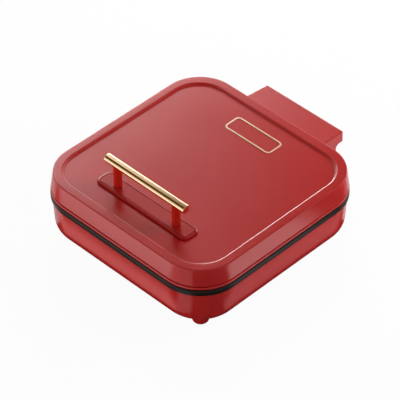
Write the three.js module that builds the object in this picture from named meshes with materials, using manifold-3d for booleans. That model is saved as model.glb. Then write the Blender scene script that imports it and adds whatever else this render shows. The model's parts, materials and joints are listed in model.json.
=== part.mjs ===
import * as THREE from "three";
import { mergeVertices } from "three/addons/utils/BufferGeometryUtils.js";
import Module from "manifold-3d";

const wasm = await Module();
wasm.setup();

// A sandwich maker with a hinged lid. Sizes are in millimetres.
// X runs to the right, Y to the rear and Z up from the table.

// Housing outline and walls
const lidWidth = 230;
const lidDepth = 231;
const cornerRadius = 42.3;
const housingWall = 2.2;
const runningGap = 0.3;
const seatGap = 0.1;
const overrun = 6;

// Heights, counted up from the table
const padProud = 1;
const footDrop = 6.1;
const baseHeight = 51;
const beadHeight = 3.4;
const seamHeight = 0.8;
const skirtDrop = 19.5;

// Lid cover
const skirtFlare = 2.8;
const shoulderRadius = 1.2;
const rimWidth = 8.4;
const rearRimWidth = 9.3;
const recessDepth = 2.5;
const recessSlope = 2.2;
const recessCornerRadius = 34.6;
const lidPostRadius = 3.4;
const lidPostInset = 7.2;

// Hinge block on the rear of the lid cover
const blockReach = 38;
const blockHalfWidth = 54.5;
const blockTaper = 1.2;
const blockDrop = 8.8;
const blockFall = 3.3;
const blockEdgeRadius = 1.6;
const blockCornerRadius = 2.4;

// Lid ring and its bead
const beadReach = 3.25;
const beadEdge = 0.7;
const ledgeThickness = 2.8;
const ledgeWidth = 6.3;

// Base ring and base shell
const ringReach = 3.5;
const ringHeight = 7.5;
const ringTopRadius = 2.4;
const ringBottomRadius = 1.6;
const ringRibDepth = 4.4;
const ringRibWall = 2;
const shellReach = 0.5;
const shellTopReach = 1.9;
const shellBottomRadius = 18;
const shellTopCover = 3.7;
const footInset = 25.7;
const footRadius = 8.4;
const footEdgeRadius = 2.2;
const padRadius = 6;
const padThickness = 2.9;
const ventLength = 46;
const ventWidth = 3.2;
const ventEnd = 1.5;
const ventPitch = 8;
const ventOffset = 46;
const ventCount = 4;

// Hinge seat, knuckles and pins
const seatHalfWidth = 52;
const seatReach = 29;
const seatLipReach = 35;
const seatLipHeight = 4.4;
const seatKneeHeight = 12;
const seatFootHeight = 29.1;
const knuckleRadius = 3.9;
const knuckleClearance = 0.4;
const knuckleInset = 4;
const knuckleWidth = 9;
const knuckleGap = 0.4;
const knuckleStart = 26;
const pinRadius = 1.75;
const pinBoreGap = 0.09;
const pinHeadRadius = 2.8;
const pinHeadHeight = 1.2;

// Cooking plates
const plateInset = 12.5;
const plateCornerRadius = 30;
const plateSink = 0.3;
const flangeThickness = 2.5;
const plateWall = 2.2;
const crossWeb = 5;
const diagonalWeb = 4;
const pocketClearance = 1.3;
const pocketCornerRadius = 7;
const lowerPocketDepth = 12;
const plateBossRadius = 5;
const sensorOffset = 29;
const fuseOffset = 35;

// Heating elements, heat shields and the parts beside them
const elementDiameter = 5.4;
const elementInset = 48.5;
const elementBend = 16;
const elementTerminalOffset = 16;
const elementTerminalReach = 36;
const shieldThickness = 0.6;
const shieldInset = 36.5;
const shieldCornerRadius = 14;
const shieldRim = 4;
const shieldHoleRadius = 9.5;
const thermostatRadius = 7;
const thermostatHeight = 8;
const thermostatNeckShare = 0.55;
const thermostatNeckHeightShare = 0.5;
const fuseRadius = 1.9;
const fuseLength = 14;
const terminalWidth = 34;
const terminalDepth = 13;
const terminalHeight = 13;
const terminalWays = 3;
const terminalWellShare = 0.25;
const terminalPassageShare = 0.2;
const terminalPassageHeightShare = 0.38;
const terminalSideInset = 81;
const terminalInset = 49.5;
const pegRadius = 3;
const pegHeight = 10;
const wireRadius = 1.3;
const wireSlack = 9;

// Cord gland in the rear wall
const glandSideGap = 6;
const glandHeight = 33.1;
const glandBore = 4.4;
const glandNeck = 5.6;
const glandFlange = 8;
const glandFlangeThickness = 2;

// Screws
const screwRadius = 1.5;
const screwHeadRadius = 3;
const screwHeadHeight = 1.8;
const screwHoleGap = 0.2;
const screwWellDepth = 21;
const baseScrewSideInset = 10.5;
const baseScrewEndInset = 55.5;
const basePostRadius = 4;
const basePostLength = 16;
const baseBossRadius = 5.4;
const threadLength = 10;
const plateScrewRadius = 1.2;
const plateScrewHeadRadius = 2.3;
const plateScrewBite = 1.8;

// Handle
const handleInset = 33.3;
const handlePlateWidth = 124.8;
const handlePlateDepth = 20.5;
const handlePlateThickness = 3;
const handlePlateBevel = 1.2;
const handlePlateCorner = 5.4;
const barRadius = 4.8;
const barHalfLength = 54.5;
const barChamfer = 0.5;
const barHeight = 30.4;
const postRadius = 4.5;
const postOffset = 40.2;

// Badge outline
const badgeInset = 29.9;
const badgeWidth = 62.2;
const badgeDepth = 21.9;
const badgeCorner = 4.9;
const badgeLine = 1.5;
const badgeThickness = 0.6;

// Fineness of curves
const cornerSteps = 6;
const pocketCornerSteps = 3;
const edgeSteps = 2;
const bottomSteps = 4;
const smallSides = 8;
const pinSides = 12;
const barSides = 20;
const elementSides = 8;
const elementStepCount = 36;
const wireSides = 6;
const wireStepCount = 10;

// Shares of a form's own width and height, from its mouth inwards
const recessWallShares = [[1, 0], [0.66, 0.1], [0.3, 0.62], [0, 1]];
const pocketShares = [[0, 0], [0.2, 0.66], [0.5, 1]];

// Heights that follow from the sizes above
const underside = padProud + footDrop;
const parting = underside + baseHeight;
const lidFloor = parting + runningGap;
const beadTop = lidFloor + beadHeight;
const skirtBottom = beadTop + seamHeight;
const rimHeight = skirtBottom + skirtDrop;
const panelHeight = rimHeight - recessDepth;
const panelUnderside = panelHeight - housingWall;
const shellTop = parting - shellTopCover;
const floorTop = underside + housingWall;
const upperFace = lidFloor + plateSink;
const lowerFace = parting - plateSink;
const upperLedge = upperFace + flangeThickness + seatGap;
const lidRingTop = upperLedge + ledgeThickness;
const lowerLedge = lowerFace - flangeThickness - seatGap;
const lowerLedgeBottom = lowerLedge - ledgeThickness;

// The upper pockets take the depth that the parts above them leave
const upperStack = elementDiameter + shieldThickness + screwHeadHeight + 2 * runningGap + 2 * seatGap;
const upperPocketDepth = panelUnderside - upperFace - plateWall - upperStack;

// Places along Y that follow
const halfWidth = lidWidth / 2;
const halfDepth = lidDepth / 2;
const blockRear = halfDepth + blockReach;
const hingeY = blockRear - knuckleInset;
const hingeZ = lidFloor - knuckleRadius - knuckleClearance;
const seatRear = halfDepth + seatReach;
const seatLipRear = halfDepth + seatLipReach;
const seatTop = lidFloor - 2 * runningGap;
const handleY = rimWidth + handleInset - halfDepth;
const badgeY = halfDepth - rearRimWidth - badgeInset;
const terminalX = terminalSideInset - halfWidth;
const terminalY = halfDepth - terminalInset;
const glandX = seatHalfWidth + glandSideGap + glandFlange;
const frontReach = halfDepth + ringReach;

const quarterTurn = Math.PI / 2;
const root2 = Math.SQRT2;

// Solids and helpers

function solidOf(geometry) {
  const bare = geometry.clone();
  bare.deleteAttribute("normal");
  bare.deleteAttribute("uv");
  const merged = mergeVertices(bare);
  return new wasm.Manifold(
    new wasm.Mesh({
      numProp: 3,
      vertProperties: new Float32Array(merged.attributes.position.array),
      triVerts: new Uint32Array(merged.index.array),
    }),
  );
}

function join(solids) {
  return solids.reduce((whole, next) => whole.add(next));
}

// Corner points of a convex outline, listed anticlockwise, with every corner rounded.
function roundedPolygon(corners, radius, steps) {
  const points = [];
  corners.forEach((corner, i) => {
    const before = corners[(i + corners.length - 1) % corners.length];
    const after = corners[(i + 1) % corners.length];
    const incoming = corner.clone().sub(before).normalize();
    const outgoing = after.clone().sub(corner).normalize();
    const startAngle = Math.atan2(-incoming.x, incoming.y);
    const turn = Math.atan2(incoming.cross(outgoing), incoming.dot(outgoing));
    const inward = outgoing.clone().sub(incoming).normalize();
    const centre = corner.clone().addScaledVector(inward, radius / Math.cos(turn / 2));
    for (let step = 0; step <= steps; step++) {
      const angle = startAngle + (turn * step) / steps;
      const x = centre.x + radius * Math.cos(angle);
      const y = centre.y + radius * Math.sin(angle);
      points.push(new THREE.Vector2(x, y));
    }
  });
  return points;
}

function roundedRectangle({ width, depth, radius, x = 0, y = 0, steps = cornerSteps }) {
  const corners = [
    new THREE.Vector2(x + width / 2, y - depth / 2),
    new THREE.Vector2(x + width / 2, y + depth / 2),
    new THREE.Vector2(x - width / 2, y + depth / 2),
    new THREE.Vector2(x - width / 2, y - depth / 2),
  ];
  return roundedPolygon(corners, radius, steps);
}

// Joins outlines with equally many points, listed from the bottom up, into one closed body.
function loft(levels) {
  const count = levels[0].outline.length;
  const positions = levels.flatMap(({ outline, z }) => outline.flatMap((p) => [p.x, p.y, z]));
  const faces = [];
  for (let level = 0; level + 1 < levels.length; level++) {
    for (let i = 0; i < count; i++) {
      const here = level * count + i;
      const next = level * count + ((i + 1) % count);
      faces.push(here, next, next + count);
      faces.push(here, next + count, here + count);
    }
  }
  const top = (levels.length - 1) * count;
  for (const [a, b, c] of THREE.ShapeUtils.triangulateShape(levels[0].outline, [])) {
    faces.push(a, c, b);
    faces.push(top + a, top + b, top + c);
  }
  const geometry = new THREE.BufferGeometry();
  geometry.setAttribute("position", new THREE.Float32BufferAttribute(positions, 3));
  geometry.setIndex(faces);
  return solidOf(geometry);
}

// A straight prism of an outline in X and Y, standing between two heights.
function prism(outline, low, high) {
  return loft([
    { outline, z: low },
    { outline, z: high },
  ]);
}

// A prism of a side profile in Y and Z, running along X.
function sideProfile(points, left, right) {
  const shape = new THREE.Shape(points);
  const geometry = new THREE.ExtrudeGeometry(shape, { depth: right - left, bevelEnabled: false });
  const turn = new THREE.Matrix4().makeBasis(
    new THREE.Vector3(0, 1, 0),
    new THREE.Vector3(0, 0, 1),
    new THREE.Vector3(1, 0, 0),
  );
  return solidOf(geometry.applyMatrix4(turn).translate(left, 0, 0));
}

// A body turned about Z from a profile of [radius, height] pairs that starts and ends on the axis.
function turned(profile, { x = 0, y = 0, z = 0, sides = smallSides }) {
  const points = profile.map(([radius, height]) => new THREE.Vector2(radius, height));
  const geometry = new THREE.LatheGeometry(points, sides);
  return solidOf(geometry.rotateX(quarterTurn).translate(x, y, z));
}

function rod(radius, { x = 0, y = 0, low, high, sides = smallSides }) {
  const profile = [[0, low], [radius, low], [radius, high], [0, high]];
  return turned(profile, { x, y, sides });
}

function rodAlongX(radius, { left, right, y, z, sides = smallSides }) {
  const geometry = new THREE.CylinderGeometry(radius, radius, right - left, sides);
  geometry.rotateZ(quarterTurn).translate((left + right) / 2, y, z);
  return solidOf(geometry);
}

function rodAlongY(radius, { front, rear, x, z, sides = smallSides }) {
  const geometry = new THREE.CylinderGeometry(radius, radius, rear - front, sides);
  geometry.translate(x, (front + rear) / 2, z);
  return solidOf(geometry);
}

function box({ left, right, front, rear, low, high }) {
  const geometry = new THREE.BoxGeometry(right - left, rear - front, high - low);
  geometry.translate((left + right) / 2, (front + rear) / 2, (low + high) / 2);
  return solidOf(geometry);
}

// A round bar that follows a path.
function tube(path, radius, sides, steps) {
  const section = new THREE.Shape();
  section.absarc(0, 0, radius, 0, 2 * Math.PI, false);
  const options = { steps, extrudePath: path, curveSegments: sides / 2, bevelEnabled: false };
  return solidOf(new THREE.ExtrudeGeometry(section, options));
}

// A cheese head screw that points up, with the underside of its head at the given height.
function screw({ x, y, seat, length, radius = screwRadius, headRadius = screwHeadRadius, up = true }) {
  const sign = up ? 1 : -1;
  const profile = [
    [0, -screwHeadHeight],
    [headRadius, -screwHeadHeight],
    [headRadius, 0],
    [radius, 0],
    [radius, length - radius],
    [0, length],
  ];
  const flipped = profile.map(([r, z]) => [r, sign * z]);
  return turned(up ? flipped : flipped.reverse(), { x, y, z: seat });
}

// Outline of the housing, moved outwards from the rim of the lid by the given reach.
function housing(reach, z) {
  const width = lidWidth + 2 * reach;
  const depth = lidDepth + 2 * reach;
  return { outline: roundedRectangle({ width, depth, radius: cornerRadius + reach }), z };
}

function mirrored(places) {
  return places.flatMap(([x, y]) => [[x, y], [-x, y], [-x, -y], [x, -y]]);
}

function flareAt(z) {
  return (skirtFlare * (rimHeight - z)) / skirtDrop;
}

// Outline of the recess in the lid, moved inwards from its mouth by the given inset.
function recess(inset, z) {
  const width = lidWidth - 2 * rimWidth - 2 * inset;
  const depth = lidDepth - rimWidth - rearRimWidth - 2 * inset;
  const y = (rimWidth - rearRimWidth) / 2;
  return { outline: roundedRectangle({ width, depth, y, radius: recessCornerRadius - inset }), z };
}

// Lid cover

// Outline of the hinge block from above, drawn in by the inset.
function blockPlan(inset) {
  const front = halfDepth - cornerRadius;
  const rear = blockRear - inset;
  const rearHalf = blockHalfWidth - blockTaper - inset;
  const frontHalf = rearHalf + (blockTaper / blockReach) * (blockRear - front);
  const corners = [
    new THREE.Vector2(frontHalf, front),
    new THREE.Vector2(rearHalf, rear),
    new THREE.Vector2(-rearHalf, rear),
    new THREE.Vector2(-frontHalf, front),
  ];
  return roundedPolygon(corners, blockCornerRadius, edgeSteps);
}

// The hinge block as a full body, or its hollow when it is drawn in by the wall.
function hingeBlock({ inset, floor, front }) {
  const rear = blockRear - inset;
  const frontTop = rimHeight - blockDrop - inset;
  const fall = blockFall / blockReach;
  const profile = [
    new THREE.Vector2(front, floor),
    new THREE.Vector2(rear, floor),
    new THREE.Vector2(rear, frontTop - blockFall - blockEdgeRadius),
  ];
  for (let step = 1; step <= edgeSteps; step++) {
    const angle = (step / edgeSteps) * quarterTurn;
    const y = rear - blockEdgeRadius * (1 - Math.cos(angle));
    const z = frontTop - blockFall - blockEdgeRadius * (1 - Math.sin(angle));
    profile.push(new THREE.Vector2(y, z));
  }
  profile.push(new THREE.Vector2(front, frontTop - fall * (front - halfDepth)));
  const side = sideProfile(profile, -blockHalfWidth - overrun, blockHalfWidth + overrun);
  return prism(blockPlan(inset), floor, frontTop + overrun).intersect(side);
}

function cornerPlaces(inset) {
  const onDiagonal = (cornerRadius - inset) / root2;
  return mirrored([[halfWidth - cornerRadius + onDiagonal, halfDepth - cornerRadius + onDiagonal]]);
}

const lidScrewPlaces = cornerPlaces(lidPostInset);
const lidScrewReach = lidRingTop + runningGap + threadLength;

function lidCover() {
  const levels = [housing(skirtFlare, skirtBottom)];
  for (let step = 0; step <= edgeSteps; step++) {
    const angle = (step / edgeSteps) * quarterTurn;
    const start = flareAt(rimHeight - shoulderRadius);
    const reach = start - shoulderRadius * (1 - Math.cos(angle));
    levels.push(housing(reach, rimHeight - shoulderRadius * (1 - Math.sin(angle))));
  }
  const outer = loft(levels);
  const recessLevels = recessWallShares.map(([inwards, up]) =>
    recess(recessSlope * inwards, panelHeight + recessDepth * up),
  );
  const recessed = loft([...recessLevels, recess(0, rimHeight + overrun)]);
  const hollow = loft([
    housing(skirtFlare - housingWall, skirtBottom - overrun),
    housing(skirtFlare - housingWall, skirtBottom),
    housing(-housingWall, rimHeight - housingWall),
  ]);
  const pan = loft([
    recess(recessSlope - housingWall, panelUnderside),
    recess(-housingWall, panelHeight),
    recess(-housingWall, rimHeight),
  ]);
  const block = hingeBlock({ inset: 0, floor: lidFloor, front: halfDepth - cornerRadius });
  const blockHollow = hingeBlock({
    inset: housingWall,
    floor: lidFloor - overrun,
    front: halfDepth + skirtFlare,
  });
  const beadRoom = prism(housing(beadReach + runningGap, 0).outline, lidFloor - overrun, skirtBottom);
  const posts = lidScrewPlaces.map(([x, y]) =>
    rod(lidPostRadius, { x, y, low: lidRingTop + runningGap, high: rimHeight - housingWall / 2 }),
  );
  const postHoles = lidScrewPlaces.map(([x, y]) => {
    const high = lidScrewReach + runningGap;
    return rod(screwRadius + screwHoleGap, { x, y, low: lidRingTop, high });
  });
  const handleHoles = [-postOffset, postOffset].map((x) => {
    const low = panelUnderside - overrun;
    return rod(screwRadius + screwHoleGap, { x, y: handleY, low, high: rimHeight });
  });
  return join([outer, block])
    .subtract(recessed)
    .subtract(hollow.subtract(pan))
    .subtract(blockHollow)
    .subtract(beadRoom)
    .add(join(posts))
    .subtract(join([...postHoles, ...handleHoles]));
}

// Cooking plates

const plateWidth = lidWidth - 2 * plateInset;
const plateDepth = lidDepth - 2 * plateInset;

function plateOutline(reach) {
  const width = plateWidth + 2 * reach;
  const depth = plateDepth + 2 * reach;
  return roundedRectangle({ width, depth, radius: plateCornerRadius + reach });
}

const plateScrewInset = ledgeWidth / 2;
const plateScrewPlaces = [
  [plateWidth / 2 - plateScrewInset, 0],
  [0, plateDepth / 2 - plateScrewInset],
  [plateScrewInset - plateWidth / 2, 0],
  [0, plateScrewInset - plateDepth / 2],
];

// Right-angled corners of the eight triangular pockets, with the directions of their two legs.
const fieldX = plateWidth / 2 - ledgeWidth - pocketClearance - plateWall;
const fieldY = plateDepth / 2 - ledgeWidth - pocketClearance - plateWall;
const pocketLeg = Math.min(fieldX, fieldY) - crossWeb / 2 - diagonalWeb / root2;
const pocketInradius = pocketLeg * (1 - 1 / root2);
const pockets = [1, -1].flatMap((sideX) =>
  [1, -1].flatMap((sideY) => [
    { x: sideX * fieldX, y: (sideY * crossWeb) / 2, legX: -sideX, legY: sideY },
    { x: (sideX * crossWeb) / 2, y: sideY * fieldY, legX: sideX, legY: -sideY },
  ]),
);

// Outline of a pocket, grown outwards from its mouth by the given reach.
function pocketOutline({ x, y, legX, legY }, reach) {
  const corners = [
    new THREE.Vector2(x, y),
    new THREE.Vector2(x + legX * pocketLeg, y),
    new THREE.Vector2(x, y + legY * pocketLeg),
  ];
  if (legX * legY < 0) corners.reverse();
  const middle = new THREE.Vector2(x + legX * pocketInradius, y + legY * pocketInradius);
  const scale = 1 + reach / pocketInradius;
  const rounded = roundedPolygon(corners, pocketCornerRadius, pocketCornerSteps);
  return rounded.map((point) => point.sub(middle).multiplyScalar(scale).add(middle));
}

// A plate with its cooking face at height zero and its pockets bulging upwards.
function cookingPlate(depth, bossHeight, sensorHeight) {
  const shells = pockets.map((pocket) =>
    loft(
      pocketShares.map(([inset, down]) => ({
        outline: pocketOutline(pocket, plateWall - inset * pocketInradius),
        z: plateWall + depth * down,
      })),
    ),
  );
  const hollows = pockets.map((pocket) =>
    loft([
      { outline: pocketOutline(pocket, 0), z: -overrun },
      ...pocketShares.map(([inset, down]) => ({
        outline: pocketOutline(pocket, -inset * pocketInradius),
        z: depth * down,
      })),
    ]),
  );
  const flange = prism(plateOutline(0), 0, flangeThickness);
  const boss = rod(plateBossRadius, { low: flangeThickness / 2, high: bossHeight });
  const bossHole = rod(screwRadius + screwHoleGap, {
    low: bossHeight - threadLength / 2,
    high: bossHeight + overrun,
  });
  const solids = [flange, ...shells, boss];
  if (sensorHeight > 0) {
    const y = sensorOffset;
    solids.push(rod(plateBossRadius, { y, low: flangeThickness / 2, high: sensorHeight }));
  }
  const screwHoles = plateScrewPlaces.map(([x, y]) => {
    const low = flangeThickness - plateScrewBite - seatGap;
    return rod(plateScrewRadius + screwHoleGap, { x, y, low, high: flangeThickness + overrun });
  });
  return join(solids)
    .subtract(join(hollows))
    .subtract(join([bossHole, ...screwHoles]));
}

const elementRear = plateDepth / 2 - elementInset + elementTerminalReach;

// The tubular element lies in a loop against the backs of the pockets, its ends to the rear.
function elementPath(z) {
  const bendX = plateWidth / 2 - elementInset - elementBend;
  const bendY = plateDepth / 2 - elementInset - elementBend;
  const terminalBend = elementTerminalOffset + elementBend;
  const turnY = bendY + 2 * elementBend;
  const path = new THREE.Path();
  path.moveTo(-elementTerminalOffset, elementRear);
  path.lineTo(-elementTerminalOffset, turnY);
  path.absarc(-terminalBend, turnY, elementBend, 0, -quarterTurn, true);
  path.absarc(-bendX, bendY, elementBend, quarterTurn, 2 * quarterTurn, false);
  path.absarc(-bendX, -bendY, elementBend, 2 * quarterTurn, 3 * quarterTurn, false);
  path.absarc(bendX, -bendY, elementBend, 3 * quarterTurn, 4 * quarterTurn, false);
  path.absarc(bendX, bendY, elementBend, 0, quarterTurn, false);
  path.absarc(terminalBend, turnY, elementBend, -quarterTurn, -2 * quarterTurn, true);
  path.lineTo(elementTerminalOffset, elementRear);
  const points = path.getSpacedPoints(elementStepCount * 2);
  return new THREE.CatmullRomCurve3(points.map((p) => new THREE.Vector3(p.x, p.y, z)));
}

function heatingElement(z) {
  return tube(elementPath(z), elementDiameter / 2, elementSides, elementStepCount);
}

// A pressed pan whose rim is turned towards the plate.
function heatShield({ near, towardsPlate, sensor }) {
  const sheet = (inset) =>
    roundedRectangle({
      width: plateWidth - 2 * (shieldInset + inset),
      depth: plateDepth - 2 * (shieldInset + inset),
      radius: shieldCornerRadius - inset,
    });
  const far = near - towardsPlate * shieldThickness;
  const rimEnd = near + towardsPlate * shieldRim;
  const inner = sheet(shieldThickness);
  const outer = sheet(0);
  const block = prism(outer, Math.min(far, rimEnd), Math.max(far, rimEnd));
  const hollowEnd = rimEnd + towardsPlate * overrun;
  const hollow = prism(inner, Math.min(near, hollowEnd), Math.max(near, hollowEnd));
  const low = Math.min(far, rimEnd) - overrun;
  const high = Math.max(far, rimEnd) + overrun;
  const holes = [rod(screwRadius + screwHoleGap, { low, high })];
  if (sensor !== 0) holes.push(rod(shieldHoleRadius, { y: sensor, low, high, sides: pinSides }));
  const notchHalf = elementTerminalOffset + elementDiameter;
  const notch = box({
    left: -notchHalf,
    right: notchHalf,
    front: plateDepth / 2 - shieldInset - shieldRim,
    rear: plateDepth / 2 - shieldInset + overrun,
    low: Math.min(near, hollowEnd),
    high: Math.max(near, hollowEnd),
  });
  return block.subtract(hollow).subtract(notch).subtract(join(holes));
}

const upperBack = upperFace + upperPocketDepth + plateWall;
const upperShield = upperBack + runningGap + elementDiameter + runningGap;
const lowerBack = lowerFace - lowerPocketDepth - plateWall;
const lowerShield = lowerBack - runningGap - elementDiameter - runningGap;

// Lid ring, which carries the upper plate and the hinge arms

function knuckle({ left, right, web }) {
  const barrel = rodAlongX(knuckleRadius, { left, right, y: hingeY, z: hingeZ, sides: pinSides });
  return barrel.add(box({ left, right, ...web }));
}

function lidRing() {
  const bead = loft([
    housing(beadReach - beadEdge, lidFloor),
    housing(beadReach, lidFloor + beadEdge),
    housing(beadReach, beadTop - beadEdge),
    housing(beadReach - beadEdge, beadTop),
  ]);
  const upstandReach = flareAt(lidRingTop) - housingWall - runningGap;
  const upstand = prism(housing(upstandReach, 0).outline, lidFloor, lidRingTop);
  const flangeRoom = prism(plateOutline(runningGap), lidFloor - overrun, upperLedge);
  const opening = prism(plateOutline(-ledgeWidth), lidFloor - overrun, lidRingTop + overrun);
  const armRear = blockRear - housingWall - runningGap;
  const armHalf = blockHalfWidth - blockTaper - housingWall - runningGap;
  const arm = prism(blockPlan(housingWall + runningGap), lidFloor, skirtBottom - runningGap);
  const web = {
    front: hingeY - knuckleRadius,
    rear: armRear,
    low: hingeZ,
    high: lidFloor + beadHeight / 2,
  };
  const knuckles = [
    knuckle({ left: knuckleStart, right: knuckleStart + knuckleWidth, web }),
    knuckle({ left: -knuckleStart - knuckleWidth, right: -knuckleStart, web }),
  ];
  const pinBore = rodAlongX(pinRadius + pinBoreGap, {
    left: -armHalf,
    right: armHalf,
    y: hingeY,
    z: hingeZ,
    sides: pinSides,
  });
  const holes = lidScrewPlaces.flatMap(([x, y]) => [
    rod(screwRadius + screwHoleGap, { x, y, low: lidFloor - overrun, high: lidRingTop + overrun }),
    rod(screwHeadRadius + runningGap, {
      x,
      y,
      low: lidFloor - overrun,
      high: lidFloor + screwHeadHeight + runningGap,
    }),
  ]);
  const plateHoles = plateScrewPlaces.map(([x, y]) =>
    rod(plateScrewRadius + screwHoleGap, { x, y, low: lidFloor, high: lidRingTop + overrun }),
  );
  return join([bead, upstand, arm, ...knuckles])
    .subtract(flangeRoom)
    .subtract(opening)
    .subtract(pinBore)
    .subtract(join([...holes, ...plateHoles]));
}

// Base ring, which carries the lower plate

const ringBottom = parting - ringHeight;
const baseScrewPlaces = mirrored([[halfWidth - baseScrewSideInset, halfDepth - baseScrewEndInset]]);
const basePostBottom = lowerLedgeBottom - basePostLength;

function baseRing() {
  const levels = [];
  for (let step = 0; step <= edgeSteps; step++) {
    const angle = (step / edgeSteps) * quarterTurn;
    const reach = ringReach - ringBottomRadius * (1 - Math.sin(angle));
    levels.push(housing(reach, ringBottom + ringBottomRadius * (1 - Math.cos(angle))));
  }
  for (let step = 0; step <= edgeSteps; step++) {
    const angle = (step / edgeSteps) * quarterTurn;
    const reach = ringReach - ringTopRadius * (1 - Math.cos(angle));
    levels.push(housing(reach, parting - ringTopRadius * (1 - Math.sin(angle))));
  }
  const band = loft(levels);
  const wallRoom = prism(
    housing(shellTopReach + runningGap, 0).outline,
    ringBottom - overrun,
    shellTop + runningGap,
  );
  const coreReach = shellTopReach - housingWall - runningGap;
  const ribBottom = shellTop - ringRibDepth - runningGap;
  const core = prism(housing(coreReach, 0).outline, ribBottom, parting - ringTopRadius);
  const ribHollow = prism(housing(coreReach - ringRibWall, 0).outline, ribBottom - overrun, lowerLedgeBottom);
  const posts = baseScrewPlaces.map(([x, y]) =>
    rod(basePostRadius, { x, y, low: basePostBottom, high: lowerLedge - ledgeThickness / 2 }),
  );
  const postHoles = baseScrewPlaces.map(([x, y]) => {
    const high = basePostBottom + threadLength + runningGap;
    return rod(screwRadius + screwHoleGap, { x, y, low: basePostBottom - overrun, high });
  });
  const flangeRoom = prism(plateOutline(runningGap), lowerLedge, parting + overrun);
  const opening = prism(plateOutline(-ledgeWidth), ribBottom - overrun, parting + overrun);
  const plateHoles = plateScrewPlaces.map(([x, y]) => {
    const low = lowerLedgeBottom - overrun;
    return rod(plateScrewRadius + screwHoleGap, { x, y, low, high: lowerLedge + overrun });
  });
  return band
    .subtract(wallRoom)
    .add(core)
    .subtract(ribHollow)
    .add(join(posts))
    .subtract(flangeRoom)
    .subtract(opening)
    .subtract(join([...postHoles, ...plateHoles]));
}

// Base shell

function shellBody(inset, top) {
  const radius = shellBottomRadius - inset;
  const levels = [];
  for (let step = 0; step <= bottomSteps; step++) {
    const angle = (step / bottomSteps) * quarterTurn;
    const reach = shellReach - inset - radius * (1 - Math.sin(angle));
    levels.push(housing(reach, underside + inset + radius * (1 - Math.cos(angle))));
  }
  levels.push(housing(shellTopReach - inset, shellTop));
  if (top > shellTop) levels.push(housing(shellTopReach - inset, top));
  return loft(levels);
}

// The hinge seat as a full body, or its hollow when it is drawn in by the wall.
function hingeSeat(inset, front) {
  const profile = [
    new THREE.Vector2(front, seatFootHeight + inset),
    new THREE.Vector2(halfDepth, seatFootHeight + inset),
    new THREE.Vector2(seatRear - inset, seatFootHeight + seatKneeHeight + inset),
    new THREE.Vector2(seatRear - inset, seatTop - seatLipHeight - inset),
    new THREE.Vector2(seatLipRear - inset, seatTop - inset),
    new THREE.Vector2(front, seatTop - inset),
  ];
  return sideProfile(profile, -seatHalfWidth + inset, seatHalfWidth - inset);
}

const footPlaces = cornerPlaces(cornerRadius - footInset);
const knuckleOuter = knuckleStart + knuckleWidth + knuckleGap;
const knuckleEnd = knuckleOuter + knuckleWidth;

function foot({ x, y }) {
  const profile = [[0, padProud]];
  for (let step = 0; step <= edgeSteps; step++) {
    const angle = (step / edgeSteps) * quarterTurn;
    const radius = footRadius - footEdgeRadius * (1 - Math.sin(angle));
    profile.push([radius, padProud + footEdgeRadius * (1 - Math.cos(angle))]);
  }
  profile.push([footRadius, floorTop + overrun]);
  profile.push([0, floorTop + overrun]);
  return turned(profile, { x, y, sides: pinSides });
}

function ventSlots() {
  const slots = [];
  for (const side of [-1, 1]) {
    for (let i = 0; i < ventCount; i++) {
      const y = (i - (ventCount - 1) / 2) * ventPitch;
      const outline = roundedRectangle({
        width: ventLength,
        depth: ventWidth,
        radius: ventEnd,
        x: side * ventOffset,
        y,
        steps: 2,
      });
      slots.push(prism(outline, underside - overrun, floorTop + overrun));
    }
  }
  return join(slots);
}

const pegPlaces = [
  [terminalX - terminalWidth / terminalWays, terminalY],
  [terminalX + terminalWidth / terminalWays, terminalY],
];
const terminalFloor = floorTop + pegHeight;
const terminalPitch = terminalWidth / terminalWays;

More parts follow.
